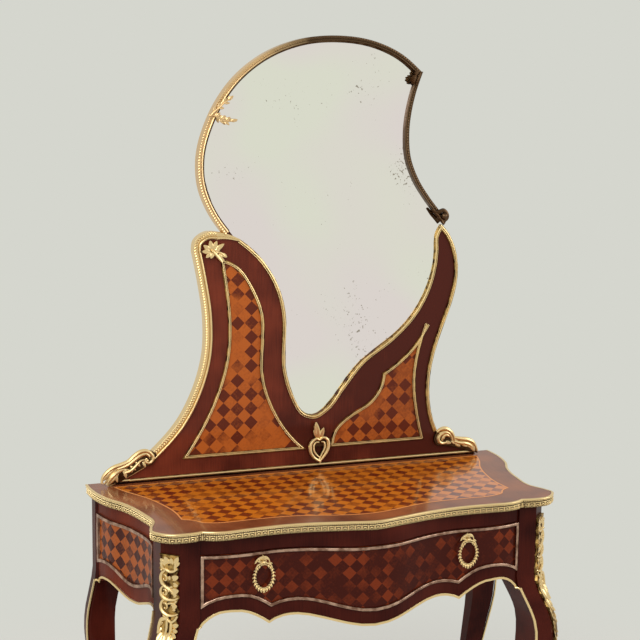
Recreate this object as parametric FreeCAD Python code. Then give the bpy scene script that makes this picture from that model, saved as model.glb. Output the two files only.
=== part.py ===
import FreeCAD, Part
import os
from math import ceil, cos, pi, sin, sqrt

# Dressing table with a serpentine top, one drawer and a tall asymmetric mirror stand.
# Millimetres. X runs to the right, Y to the back and Z up. The origin is on the floor,
# under the middle of the table top.

V = FreeCAD.Vector
ACROSS, BACKWARD, UP = V(1, 0, 0), V(0, 1, 0), V(0, 0, 1)
ORIGIN = V(0, 0, 0)
OUTWARD = V(1, -1, 0).normalize()
ALONG = V(1, 1, 0).normalize()

# Driving sizes of the table
TABLE_WIDTH = 1010.0
TABLE_DEPTH = 472.0
TABLE_HEIGHT = 760.0
TOP_THICK = 20.0
BAND_THICK = 6.0
SNUG = 0.3
ARC_FIT = 1.0
CHORD_FIT = 0.5
OVERRUN = 60.0

# Driving sizes of the carcass
POST_MARGIN = 141.0
APRON_DROP = 207.0
SIDE_DROP = 193.0
RAIL_THICK = 24.0
TOP_RAIL_HEIGHT = 34.0
SIDE_THICK = 22.0
BACK_THICK = 22.0
BACK_APRON_HEIGHT = 165.0
BACK_SETBACK = 8.0
CORNER_BLOCK = 30.0
KNEE_REACH = 10.0

# Driving sizes of the legs
FRONT_LEG_WIDTH = 73.0
FRONT_LEG_DEPTH = 87.0
FRONT_LEG_CANT = 31.0
FRONT_LEG_SETBACK = 60.0
FRONT_KNEE_THROW = 32.0
BACK_LEG_WIDTH = 62.0
BACK_LEG_DEPTH = 38.0
BACK_LEG_CANT = 6.0
BACK_LEG_INSET = 13.0
BACK_KNEE_THROW = 21.0
SABOT_HEIGHT = 72.0
SABOT_WALL = 3.0
SABOT_SOLE = 4.0

# Driving sizes of the drawer
DRAWER_GAP = 0.7
LIP_GAP = 1.0
DRAWER_LEVEL = 118.0
DRAWER_FRONT_THICK = 22.0
DRAWER_SIDE_THICK = 10.0
DRAWER_SIDE_HEIGHT = 72.0
DRAWER_BACK_THICK = 10.0
DRAWER_BOTTOM_THICK = 7.0
DRAWER_STOP_ROOM = 60.0
DRAWER_SIDE_INSET = 14.0
RUNNER_THICK = 9.0
RUNNER_WIDTH = 30.0
GUIDE_HEIGHT = 18.0
KICKER_THICK = 10.0
MOULDING_WIDTH = 7.0
MOULDING_PROUD = 6.0

# Driving sizes of the ring pulls
PULL_SPACING = 466.0
PIVOT_DROP = 57.0
PIVOT_PROUD = 9.0
PIN_RADIUS = 1.6
PIN_CLEARANCE = 0.05
LUG_WIDTH = 6.0
HANGER_WIDTH = 2.5
LUG_RADIUS = 3.4
HANGER_SLACK = 0.4
WREATH_WIDTH = 49.0
WREATH_HEIGHT = 60.0
WREATH_THICK = 7.0
WREATH_NECK = 2.4
WREATH_LEAVES = 16
BUNDLE_SIDES = 4
ROSETTE_RADIUS = 9.0
ROSETTE_THICK = 3.0
ROSETTE_PETALS = 8
PETAL_NOTCH_share = 0.82
BOW_LENGTH = 10.5
BOW_WIDTH = 8.0
STUD_HALF = 2.0
NUT_RADIUS = 5.0
NUT_THICK = 4.0

# Driving sizes of the gilt trim
FILLET_WIDTH = 5.0
FILLET_PROUD = 3.0
MOUNT_THICK = 6.0
MOUNT_TOP_DROP = 29.0
MOUNT_PITCH = 29.0
MOUNT_LOOPS = 4
MOUNT_TONGUES = 6
MOUNT_HOLE = 10.0
WAIST_share = 0.6

# Driving sizes of the mirror stand
MIRROR_RISE = 996.0
STAND_SETBACK = 24.0
STAND_THICK = 16.0
STAND_LIP = 4.0
GLASS_THICK = 4.0
FRAME_PROUD = 8.0
WING_BAND_WIDTH = 17.0
WING_BAND_PROUD = 7.0
WING_FILLET_WIDTH = 9.0
PANEL_FILLET_WIDTH = 7.0
PANEL_FILLET_PROUD = 4.0
BASE_FILLET_WIDTH = 6.0
BASE_FILLET_LIFT = 5.0
ORNAMENT_THICK = 9.0
BATTEN_WIDTH = 45.0
BATTEN_SPACING = 290.0
BATTEN_SHIFT = 15.0
TENON_WIDTH = 28.0
TENON_THICK = 6.0
TENON_LENGTH = 32.0

# Places that follow from the driving sizes
HALF_WIDTH = TABLE_WIDTH / 2
BACK_Y = TABLE_DEPTH / 2
FRONT_Y = -BACK_Y
TOP_Z = TABLE_HEIGHT
CARCASS_Z = TABLE_HEIGHT - TOP_THICK
DRAWER_HALF = HALF_WIDTH - POST_MARGIN
BEARING_Z = CARCASS_Z - DRAWER_LEVEL
POST_FRONT_Y = FRONT_Y + FRONT_LEG_SETBACK
POST_BACK_Y = POST_FRONT_Y + FRONT_LEG_DEPTH
BACK_LEG_BACK_Y = BACK_Y - BACK_SETBACK
BACK_LEG_FRONT_Y = BACK_LEG_BACK_Y - BACK_LEG_DEPTH
BACK_LEG_INNER_X = HALF_WIDTH - BACK_LEG_INSET - BACK_LEG_WIDTH
BACK_APRON_Y = BACK_LEG_BACK_Y - BACK_THICK
STAND_FRONT_Y = BACK_Y - STAND_SETBACK
STAND_BACK_Y = STAND_FRONT_Y + STAND_THICK
GLASS_FRONT_Y = STAND_FRONT_Y + STAND_LIP
GLASS_BACK_Y = GLASS_FRONT_Y + GLASS_THICK
DRAWER_BACK_Y = BACK_APRON_Y - DRAWER_STOP_ROOM
DRAWER_TOP_Z = CARCASS_Z - TOP_RAIL_HEIGHT - LIP_GAP
DRAWER_SIDE_X = DRAWER_HALF - DRAWER_SIDE_INSET
DRAWER_SHRINK_share = (DRAWER_HALF - DRAWER_GAP) / DRAWER_HALF
PULL_X = PULL_SPACING / 2
PIVOT_Z = CARCASS_Z - PIVOT_DROP

# Plan of the table top: shares of the half width and of the depth, from the back edge
TOP_SIDE_shares = [
    (1.0, 0.0), (1.0, 0.070), (0.992, 0.160), (0.966, 0.269), (0.921, 0.371), (0.881, 0.551),
    (0.871, 0.689), (0.901, 0.773), (0.911, 0.822), (0.887, 0.871), (0.842, 0.907),
    (0.792, 0.915), (0.719, 0.905)]
TOP_FRONT_shares = [
    (0.719, 0.905), (0.673, 0.928), (0.628, 0.936), (0.574, 0.932), (0.485, 0.926),
    (0.386, 0.926), (0.277, 0.939), (0.109, 0.977), (0.0, 1.0)]

# Plan of the drawer front: shares of the drawer's half width and of the table's depth
FACADE_shares = [
    (0.0, 0.983), (0.143, 0.972), (0.286, 0.930), (0.429, 0.896), (0.571, 0.881),
    (0.714, 0.890), (0.857, 0.888), (1.0, 0.864)]

# Plan of the side: shares of the half width and of the depth, from the back edge
SIDE_PLAN_shares = [
    (0.974, 0.017), (0.960, 0.121), (0.933, 0.250), (0.895, 0.337), (0.865, 0.451),
    (0.849, 0.557), (0.849, 0.627), (0.857, 0.688)]

# Lower edge of the drawer front: shares of its half width and of the apron's drop
DRAWER_EDGE_MID_shares = [
    (0.0, 0.845), (0.168, 0.802), (0.294, 0.744), (0.390, 0.710), (0.489, 0.710),
    (0.591, 0.754)]
DRAWER_EDGE_END_shares = [
    (0.591, 0.754), (0.635, 0.700), (0.723, 0.623), (0.816, 0.606), (0.912, 0.628),
    (1.0, 0.710)]

# Lower edge of the front apron, in the same shares
APRON_EDGE_MID_shares = [
    (0.0, 1.0), (0.170, 0.957), (0.316, 0.894), (0.431, 0.857), (0.516, 0.867),
    (0.599, 0.923)]
APRON_EDGE_END_shares = [
    (0.599, 0.923), (0.690, 0.816), (0.769, 0.763), (0.824, 0.756), (0.890, 0.763),
    (0.949, 0.815), (1.0, 0.913)]

# Side apron and side moulding: shares of the side's length from the back, and of its drop
SIDE_EDGE_shares = [
    (0.0, 0.990), (0.050, 0.912), (0.133, 0.881), (0.240, 0.886), (0.326, 0.933),
    (0.405, 0.984), (0.509, 1.0), (0.599, 0.984), (0.778, 0.896), (0.889, 0.870),
    (1.0, 0.902)]
SIDE_FRAME_shares = [
    (0.011, 0.756), (0.115, 0.715), (0.222, 0.710), (0.305, 0.746), (0.373, 0.798),
    (0.452, 0.834), (0.541, 0.834), (0.638, 0.798), (0.781, 0.725), (0.892, 0.710),
    (0.961, 0.756)]
SIDE_FRAME_TOP_share = 0.176

# Leg: share of the carcass height, of the knee's throw, and of the post's width
LEG_shares = [
    (0.811, 0.0, 1.0), (0.743, 0.17, 0.99), (0.695, 0.62, 0.96), (0.655, 0.90, 0.97),
    (0.588, 1.0, 1.0), (0.541, 0.97, 0.97), (0.459, 0.72, 0.86), (0.351, 0.30, 0.70),
    (0.243, -0.02, 0.56), (0.162, -0.14, 0.49), (0.108, -0.12, 0.47),
    (0.054, 0.04, 0.50), (0.0, 0.26, 0.56)]
BACK_LEG_DEPTH_share = 0.75

# Outlines of the mirror stand: shares of the mirror's rise, seen from the front, with
# x from the middle of the table and z from its top
WING_LEFT_shares = [
    (-0.463, 0.0), (-0.420, 0.020), (-0.361, 0.068), (-0.299, 0.134), (-0.261, 0.206),
    (-0.240, 0.282), (-0.238, 0.367), (-0.250, 0.449), (-0.264, 0.517)]
SHOULDER_shares = [
    (-0.264, 0.517), (-0.261, 0.541), (-0.236, 0.561), (-0.199, 0.560),
    (-0.155, 0.544)]
SIGHT_shares = [
    (-0.155, 0.544), (-0.100, 0.496), (-0.056, 0.422), (-0.041, 0.348),
    (-0.042, 0.248), (-0.023, 0.180), (0.010, 0.132), (0.030, 0.127),
    (0.059, 0.142), (0.098, 0.189), (0.149, 0.249), (0.226, 0.303), (0.281, 0.357),
    (0.319, 0.428), (0.333, 0.505), (0.333, 0.540), (0.348, 0.568)]
WING_RIGHT_shares = [
    (0.348, 0.568), (0.369, 0.545), (0.391, 0.494), (0.395, 0.443), (0.380, 0.375),
    (0.348, 0.288), (0.328, 0.199), (0.333, 0.117), (0.350, 0.068)]
TOE_RIGHT_shares = [(0.350, 0.068), (0.384, 0.045), (0.422, 0.026), (0.460, 0.0)]
FRAME_LEFT_shares = [
    (-0.192, 0.555), (-0.222, 0.596), (-0.250, 0.662), (-0.254, 0.722),
    (-0.230, 0.810), (-0.169, 0.903), (-0.106, 0.953), (-0.011, 0.991),
    (0.072, 1.0), (0.172, 0.988), (0.233, 0.963), (0.288, 0.921)]
FRAME_RIGHT_shares = [
    (0.288, 0.921), (0.271, 0.872), (0.257, 0.783), (0.262, 0.727), (0.283, 0.676),
    (0.312, 0.634), (0.352, 0.588)]
OPENING_LEFT_shares = [
    (-0.155, 0.544), (-0.188, 0.582), (-0.222, 0.648), (-0.234, 0.699),
    (-0.222, 0.781), (-0.169, 0.880), (-0.106, 0.929), (-0.011, 0.974),
    (0.072, 0.986), (0.165, 0.977), (0.226, 0.956), (0.267, 0.930)]
OPENING_RIGHT_shares = [
    (0.267, 0.930), (0.251, 0.859), (0.240, 0.783), (0.247, 0.721), (0.268, 0.673),
    (0.301, 0.624), (0.348, 0.568)]

# The glass is cut straight from corner to corner, a little larger than the sight opening
GLASS_shares = [
    (-0.241, 0.711), (-0.233, 0.766), (-0.209, 0.831), (-0.181, 0.875), (-0.145, 0.910),
    (-0.078, 0.953), (-0.016, 0.979), (0.048, 0.991), (0.122, 0.990), (0.167, 0.983),
    (0.206, 0.971), (0.242, 0.955), (0.272, 0.933), (0.250, 0.820), (0.246, 0.765),
    (0.256, 0.713), (0.285, 0.658), (0.347, 0.578), (0.349, 0.562), (0.340, 0.542),
    (0.336, 0.465), (0.328, 0.434), (0.313, 0.399), (0.289, 0.357), (0.258, 0.322),
    (0.231, 0.299), (0.148, 0.239), (0.123, 0.212), (0.080, 0.155), (0.061, 0.135),
    (0.044, 0.124), (0.026, 0.121), (0.005, 0.127), (-0.012, 0.144), (-0.025, 0.168),
    (-0.041, 0.211), (-0.049, 0.260), (-0.049, 0.368), (-0.056, 0.401), (-0.068, 0.435),
    (-0.084, 0.464), (-0.104, 0.491), (-0.128, 0.515), (-0.167, 0.547), (-0.201, 0.590),
    (-0.218, 0.621), (-0.230, 0.653), (-0.238, 0.683)]

# Gilt fillets round the two parquetry fields of the stand, in the same shares
FIELD_LEFT_OUT_shares = [
    (-0.289, 0.047), (-0.236, 0.132), (-0.203, 0.207), (-0.186, 0.271),
    (-0.181, 0.343), (-0.186, 0.408), (-0.200, 0.500)]
FIELD_LEFT_IN_shares = [
    (-0.200, 0.500), (-0.159, 0.482), (-0.122, 0.432), (-0.098, 0.371),
    (-0.096, 0.304), (-0.097, 0.235), (-0.072, 0.152), (-0.018, 0.073),
    (0.011, 0.047)]
FIELD_RIGHT_IN_shares = [
    (0.072, 0.048), (0.083, 0.088), (0.124, 0.123), (0.174, 0.152), (0.201, 0.195),
    (0.204, 0.216)]
FIELD_RIGHT_UP_shares = [
    (0.204, 0.216), (0.245, 0.243), (0.294, 0.291), (0.318, 0.330)]
FIELD_RIGHT_OUT_shares = [
    (0.318, 0.330), (0.299, 0.269), (0.289, 0.192), (0.298, 0.116), (0.315, 0.048)]

# Cast ornaments of the stand, in the same shares
SCROLL_RIGHT_shares = [
    (0.350, 0.030), (0.344, 0.056), (0.358, 0.070), (0.378, 0.060), (0.402, 0.044),
    (0.434, 0.034), (0.456, 0.016), (0.462, 0.003)]
SCROLL_RIGHT_UNDER_shares = [(0.462, 0.003), (0.430, 0.012), (0.400, 0.022), (0.350, 0.030)]
SCROLL_LEFT_shares = [
    (-0.462, 0.003), (-0.456, 0.016), (-0.428, 0.036), (-0.398, 0.052),
    (-0.372, 0.074), (-0.352, 0.066), (-0.362, 0.042)]
SCROLL_LEFT_UNDER_shares = [(-0.362, 0.042), (-0.400, 0.026), (-0.430, 0.010), (-0.462, 0.003)]
SHOULDER_LEAF_shares = [
    (-0.252, 0.532), (-0.232, 0.548), (-0.200, 0.540), (-0.214, 0.522), (-0.192, 0.498),
    (-0.216, 0.496), (-0.238, 0.506)]
SPRIG_shares = [
    (-0.244, 0.838), (-0.206, 0.868), (-0.194, 0.884), (-0.190, 0.862), (-0.212, 0.840),
    (-0.180, 0.822), (-0.182, 0.806), (-0.216, 0.820)]
CORNER_LEAF_shares = [
    (0.290, 0.918), (0.270, 0.930), (0.258, 0.912), (0.246, 0.892), (0.262, 0.882),
    (0.280, 0.890)]
FINIAL_shares = [
    (0.324, 0.600), (0.338, 0.612), (0.360, 0.604), (0.368, 0.586), (0.358, 0.570),
    (0.342, 0.572), (0.338, 0.588)]
HEART_shares = [
    (0.043, 0.017), (0.022, 0.040), (0.026, 0.062), (0.043, 0.060), (0.060, 0.062),
    (0.064, 0.040)]
HEART_HOLE_shares = [
    (0.043, 0.030), (0.033, 0.044), (0.036, 0.054), (0.043, 0.051), (0.050, 0.054),
    (0.053, 0.044)]
HEART_SPRIG_shares = [
    (0.036, 0.056), (0.028, 0.084), (0.036, 0.110), (0.044, 0.092), (0.056, 0.090),
    (0.050, 0.056)]

made = {}


def keep(name, shape):
    """Keep a finished node under its name."""
    made[name] = shape


def keep_pair(name, right):
    """Keep a right-hand node and its mirror image."""
    keep(name + "_right", right)
    keep(name + "_left", mirrored(right))


# Points and outlines


def plan_point(half_width, x_share, y_share):
    return V(half_width * x_share, BACK_Y - TABLE_DEPTH * y_share, 0)


def front_point(x_share, drop_share):
    return V(DRAWER_HALF * x_share, 0, CARCASS_Z - APRON_DROP * drop_share)


def side_point(along_share, drop_share):
    length = BACK_LEG_FRONT_Y - POST_BACK_Y
    y = BACK_LEG_FRONT_Y - length * along_share
    return V(0, y, CARCASS_Z - SIDE_DROP * drop_share)


def stand_run(shares):
    return [V(MIRROR_RISE * x, 0, TOP_Z + MIRROR_RISE * z) for x, z in shares]


def across(points):
    """The points mirrored to the other side of the table, in reverse order."""
    return [V(-p.x, p.y, p.z) for p in reversed(points)]


def moved(points, move):
    return [point + move for point in points]


def edges_through(points, arcs=False):
    """A straight edge between two points, or short edges along a smooth line through more.

    The short edges are straight, like the flats that a spokeshave leaves, or arcs."""
    if len(points) == 2:
        return [Part.LineSegment(points[0], points[1]).toShape()]
    curve = Part.BSplineCurve()
    curve.interpolate(points)
    if arcs:
        return [arc.toShape() for arc in curve.toBiArcs(ARC_FIT)]
    marks = [curve.parameter(point) for point in points]
    corners = points[:1]
    for i in range(len(points) - 1):
        turn = curve.tangent(marks[i])[0].getAngle(curve.tangent(marks[i + 1])[0])
        bulge = points[i].distanceToPoint(points[i + 1]) * turn / 8
        count = max(1, ceil(sqrt(bulge / CHORD_FIT)))
        step = (marks[i + 1] - marks[i]) / count
        corners += [curve.value(marks[i] + step * k) for k in range(1, count + 1)]
    return [Part.LineSegment(a, b).toShape() for a, b in zip(corners, corners[1:])]


def closed(runs, arcs=False):
    """A wire along runs, with a straight line where one doesn't meet the next."""
    edges = []
    for i, run in enumerate(runs):
        before = runs[i - 1][-1]
        if not before.isEqual(run[0], 0):
            edges += edges_through([before, run[0]])
        edges += edges_through(run, arcs)
    return Part.Wire(edges)


def directions(run):
    """The run's direction at each of its points."""
    if len(run) == 2:
        return [(run[1] - run[0]).normalize()] * 2
    curve = Part.BSplineCurve()
    curve.interpolate(run)
    return [curve.tangent(curve.parameter(point))[0] for point in run]


# Solids


def prism(wire, direction):
    return Part.Face(wire).extrude(direction)


def plate(wire, front_y, back_y):
    """A flat piece cut to an outline drawn in the XZ plane."""
    return prism(wire, BACKWARD * (back_y - front_y)).translate(BACKWARD * front_y)


def block(x0, x1, y0, y1, z0, z1):
    return Part.makeBox(x1 - x0, y1 - y0, z1 - z0, V(x0, y0, z0))


def mirrored(shape):
    return shape.mirror(ORIGIN, ACROSS)


def joined(solids):
    if len(solids) == 1:
        return solids[0]
    return solids[0].fuse(solids[1:])


def band_wire(run, width, axis, reach):
    """The outline of a thin band on one side of a run, lengthened at both ends."""
    ways, line = directions(run), run
    if reach and len(run) == 2:
        line = [run[0] - ways[0] * reach, run[1] + ways[1] * reach]
    elif reach:
        line = [run[0] - ways[0] * reach] + run + [run[-1] + ways[-1] * reach]
        ways = ways[:1] + ways + ways[-1:]
    side = [point + way.cross(axis) * width for point, way in zip(line, ways)]
    return closed([line, side[::-1]])


def inset(runs, distance, axis):
    """Runs that meet, moved sideways by one distance, and mitred where they meet."""
    ways = [directions(run) for run in runs]
    result = []
    for i, run in enumerate(runs):
        normals = [way.cross(axis) for way in ways[i]]
        if i > 0:
            normals[0] = mitre(ways[i - 1][-1].cross(axis), normals[0])
        if i < len(runs) - 1:
            normals[-1] = mitre(normals[-1], ways[i + 1][0].cross(axis))
        result.append([point + normal * distance for point, normal in zip(run, normals)])
    return result


def mitre(before, after):
    return (before + after) * (1 / (1 + before.dot(after)))


def bands(runs, width, axis, reach, direction):
    """Bands of one width along several runs, joined, and drawn out in one direction."""
    return joined([prism(band_wire(run, width, axis, reach), direction) for run in runs])


def frame_strip(runs, width, front_y, back_y):
    """A flat strip of even width inside a closed outline, drawn in the XZ plane."""
    whole = plate(closed(runs), front_y, back_y)
    strip = bands(runs, width, BACKWARD, abs(width), BACKWARD * (back_y - front_y))
    return whole.common(strip.translate(BACKWARD * front_y))


# Plans


def top_runs():
    side = [plan_point(HALF_WIDTH, x, y) for x, y in TOP_SIDE_shares]
    front = [plan_point(HALF_WIDTH, x, y) for x, y in TOP_FRONT_shares]
    return [side, front + across(front)[1:], across(side)]


def facade_run(setback=0):
    """The drawer front's line in plan, from the left post to the right one."""
    half = [plan_point(DRAWER_HALF, x, y) for x, y in FACADE_shares]
    return moved(across(half)[:-1] + half, BACKWARD * setback)


def facade_slab(front_set, back_set):
    """A curved slab behind the facade line, as tall as the carcass."""
    return prism(closed([facade_run(front_set), facade_run(back_set)[::-1]]), UP * CARCASS_Z)


def behind_facade(setback):
    """All the room behind a line that follows the facade."""
    front = facade_run(setback)
    back = [V(DRAWER_HALF, BACK_Y, 0), V(-DRAWER_HALF, BACK_Y, 0)]
    return prism(closed([front, back]), UP * CARCASS_Z)


def facade_y(x):
    """Where the drawer front's face lies at one distance from the middle."""
    sight = Part.makeLine(V(x, FRONT_Y - OVERRUN, 0), V(x, BACK_Y, 0))
    return Part.Wire(edges_through(facade_run())).distToShape(sight)[1][0][0].y


def side_slab(outer_set, inner_set):
    """A curved slab along the right side that runs on straight past the front post."""
    face = [plan_point(HALF_WIDTH, x, y) for x, y in SIDE_PLAN_shares]
    outer = moved(face, ACROSS * outer_set)
    inner = moved(face, ACROSS * inner_set)
    past = -BACKWARD * OVERRUN
    return prism(closed([outer, [outer[-1], outer[-1] + past],
                         [inner[-1] + past, inner[-1]], inner[::-1]]), UP * CARCASS_Z)


# Front elevation


def lower_edge(mid_shares, end_shares, shrink_share=1.0, lift=0):
    """A symmetric lower edge as three runs, from the left post to the right one."""
    mid = [front_point(x * shrink_share, z) + UP * lift for x, z in mid_shares]
    end = [front_point(x * shrink_share, z) + UP * lift for x, z in end_shares]
    return [across(end), across(mid)[:-1] + mid, end]


def outline_above(runs, level):
    """The closed outline between a lower edge and a level line."""
    left, right = runs[0][0], runs[-1][-1]
    return runs + [[right, V(right.x, 0, level)], [V(right.x, 0, level), V(left.x, 0, level)],
                   [V(left.x, 0, level), left]]


# Legs

FRONT_LEG = (DRAWER_HALF, POST_BACK_Y, FRONT_LEG_WIDTH, FRONT_LEG_DEPTH, FRONT_LEG_CANT,
             FRONT_KNEE_THROW, FRONT_KNEE_THROW, 0)
BACK_LEG = (BACK_LEG_INNER_X, BACK_LEG_BACK_Y, BACK_LEG_WIDTH, BACK_LEG_DEPTH,
            BACK_LEG_CANT, BACK_KNEE_THROW, 0, BACK_LEG_DEPTH_share)


def leg_row(row, sizes):
    """Inner, outer, back and front faces of a leg at one height, and its canted corner."""
    z_share, throw_share, width_share = row
    inner_x, back_y, width, depth, cant, throw_x, throw_y, least_depth = sizes
    x0 = inner_x + throw_x * throw_share
    y0 = back_y - throw_y * throw_share
    x1 = x0 + width * width_share
    y1 = y0 - depth * max(width_share, least_depth)
    corner = V(x1, y1 + cant * width_share, 0)
    return CARCASS_Z * z_share, x0, x1, y0, y1, corner.dot(OUTWARD)


def leg_line(sizes, face, way, shift=0):
    """One face's line down the leg, straight along the post and then curved."""
    rows = [leg_row(row, sizes) for row in LEG_shares]
    curve = [way * (row[face] + shift) + UP * row[0] for row in rows]
    return [[V(curve[0].x, curve[0].y, CARCASS_Z), curve[0]], curve]


def between(first, second, direction):
    """A prism between two lines that run down the leg."""
    back = [line[::-1] for line in reversed(second)]
    return prism(closed(first + back), direction)


def leg_solid(sizes, grow=0):
    """The leg as it is sawn: front view, side view and canted corner, cut in turn."""
    front = between(leg_line(sizes, 1, ACROSS, -grow), leg_line(sizes, 2, ACROSS, grow),
                    BACKWARD * TABLE_DEPTH).translate(BACKWARD * FRONT_Y)
    side = between(leg_line(sizes, 3, BACKWARD, grow), leg_line(sizes, 4, BACKWARD, -grow),
                   ACROSS * TABLE_WIDTH)
    return front.common(side).common(cant_prism(sizes, grow))


def cant_prism(sizes, grow, inner=None):
    """What lies inside the canted corner, or in a skin upon it."""
    outer = leg_line(sizes, 5, OUTWARD, grow)
    if inner is None:
        inner = [[V(0, 0, CARCASS_Z), V(0, 0, 0)]]
    return between(outer, inner, ALONG * TABLE_WIDTH * 2).translate(-ALONG * TABLE_WIDTH)


def level_block(low_z, high_z):
    return block(-TABLE_WIDTH, TABLE_WIDTH, -TABLE_DEPTH, TABLE_DEPTH, low_z, high_z)


def make_legs():
    for place, sizes in (("front", FRONT_LEG), ("back", BACK_LEG)):
        leg = leg_solid(sizes).common(level_block(SABOT_SOLE, CARCASS_Z))
        shoe = leg_solid(sizes, SABOT_WALL).common(level_block(0, SABOT_HEIGHT)).cut(leg)
        keep_pair("leg_" + place, leg)
        keep_pair("sabot_" + place, shoe)


# Carcass


def make_sides():
    edge = [side_point(s, d) for s, d in SIDE_EDGE_shares]
    top = [V(0, edge[-1].y, CARCASS_Z), V(0, edge[0].y, CARCASS_Z)]
    shape = prism(closed([edge, top]), ACROSS * HALF_WIDTH)
    outer_x = HALF_WIDTH * SIDE_PLAN_shares[-1][0]
    shoulder = block(outer_x - SIDE_THICK, outer_x, POST_BACK_Y - KNEE_REACH, POST_BACK_Y,
                     edge[-1].z, CARCASS_Z)
    apron = side_slab(0, -SIDE_THICK).common(shape).fuse(shoulder)
    keep_pair("side_apron", apron.cut(made["leg_front_right"]).cut(made["leg_back_right"]))

    low = [side_point(s, d) for s, d in SIDE_FRAME_shares]
    back = side_point(SIDE_FRAME_shares[0][0], SIDE_FRAME_TOP_share)
    front = side_point(SIDE_FRAME_shares[-1][0], SIDE_FRAME_TOP_share)
    runs = [low, [low[-1], front], [front, back], [back, low[0]]]
    strips = bands(runs, MOULDING_WIDTH, ACROSS, MOULDING_WIDTH, ACROSS * TABLE_WIDTH)
    ring = prism(closed(runs), ACROSS * TABLE_WIDTH).common(strips)
    frame = side_slab(MOULDING_PROUD, 0).common(ring)
    keep("side_panel_frames", Part.makeCompound([frame, mirrored(frame)]))


def make_back():
    board = block(-BACK_LEG_INNER_X, BACK_LEG_INNER_X, BACK_APRON_Y, BACK_LEG_BACK_Y,
                  CARCASS_Z - BACK_APRON_HEIGHT, CARCASS_Z)
    keep("back_apron", board.cut(made["leg_back_left"]).cut(made["leg_back_right"]))


def make_front_rails():
    rail = facade_slab(0, RAIL_THICK)
    keep("front_top_rail", rail.common(level_block(CARCASS_Z - TOP_RAIL_HEIGHT, CARCASS_Z)))

    lower = lower_edge(APRON_EDGE_MID_shares, APRON_EDGE_END_shares)
    upper = lower_edge(DRAWER_EDGE_MID_shares, DRAWER_EDGE_END_shares, 1.0, -LIP_GAP)
    strip = plate(closed([lower[0], lower[1], lower[2], upper[2][::-1], upper[1][::-1],
                          upper[0][::-1]]), FRONT_Y, BACK_Y)
    end_y = facade_run()[-1].y
    shoulder = block(DRAWER_HALF, DRAWER_HALF + KNEE_REACH, end_y, end_y + RAIL_THICK,
                     lower[-1][-1].z, upper[-1][-1].z)
    rail = joined([rail.common(strip), shoulder, mirrored(shoulder)])
    keep("front_apron_rail", rail.cut(made["leg_front_left"]).cut(made["leg_front_right"]))


def make_runners():
    """Bearers under the drawer's sides with a guide beside them, and kickers above."""
    room = behind_facade(RAIL_THICK + SNUG)
    inner_x = DRAWER_HALF - RUNNER_WIDTH
    ledge = block(inner_x, DRAWER_HALF, FRONT_Y, BACK_APRON_Y,
                  BEARING_Z - RUNNER_THICK, BEARING_Z)
    guide = block(DRAWER_SIDE_X + DRAWER_GAP, DRAWER_HALF, FRONT_Y, BACK_APRON_Y,
                  BEARING_Z, BEARING_Z + GUIDE_HEIGHT)
    keep_pair("drawer_runner", ledge.fuse(guide).common(room))

    kicker_z = BEARING_Z + DRAWER_SIDE_HEIGHT + LIP_GAP
    kicker = block(inner_x, DRAWER_HALF, FRONT_Y, BACK_APRON_Y, kicker_z,
                   kicker_z + KICKER_THICK).common(room)
    keep("drawer_kickers", Part.makeCompound([kicker, mirrored(kicker)]))


def corner_block_places():
    """Lower corners of the glue blocks: beside the front posts, and at the back legs."""
    front = V(DRAWER_HALF, POST_BACK_Y, CARCASS_Z - CORNER_BLOCK)
    back = V(BACK_LEG_INNER_X - CORNER_BLOCK, BACK_APRON_Y - CORNER_BLOCK, front.z)
    return [front, back]


def make_corner_blocks():
    solids = []
    for low in corner_block_places():
        cube = Part.makeBox(CORNER_BLOCK, CORNER_BLOCK, CORNER_BLOCK, low)
        solids += [cube, mirrored(cube)]
    keep("corner_blocks", Part.makeCompound(solids))


# Table top


def make_tenons():
    """Loose tongues that hold the mirror stand upright in the top."""
    front_y = GLASS_BACK_Y - TENON_THICK / 2
    reach = BACK_LEG_INNER_X - BATTEN_WIDTH * 2
    tongues = [block(x - TENON_WIDTH / 2, x + TENON_WIDTH / 2, front_y,
                     front_y + TENON_THICK, TOP_Z - TENON_LENGTH / 2, TOP_Z + TENON_LENGTH / 2)
               for x in (-reach, -PULL_X / 2, PULL_X / 2, reach)]
    keep("stand_tenons", Part.makeCompound(tongues))
    return tongues


def make_top(tenons):
    runs = top_runs()
    low = UP * CARCASS_Z
    full = prism(closed(runs, True), UP * TOP_THICK).translate(low)
    board = prism(closed(inset(runs, BAND_THICK, UP), True), UP * TOP_THICK).translate(low)
    rim = full.cut(board)
    for tongue in tenons:
        board = board.cut(tongue)
    keep("table_top", board)

    joint_x = runs[1][0].x
    ear_y = runs[0][5].y
    high = TOP_Z + OVERRUN
    front = block(-joint_x, joint_x, FRONT_Y - OVERRUN, 0, 0, high)
    corner = block(joint_x, TABLE_WIDTH, FRONT_Y - OVERRUN, ear_y, 0, high)
    side = block(joint_x, TABLE_WIDTH, ear_y, BACK_Y, 0, high)
    keep("edge_band_front", rim.common(front))
    for name, share in (("corners", corner), ("sides", side)):
        casting = rim.common(share)
        keep("edge_band_" + name, Part.makeCompound([casting, mirrored(casting)]))


# Drawer


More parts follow.
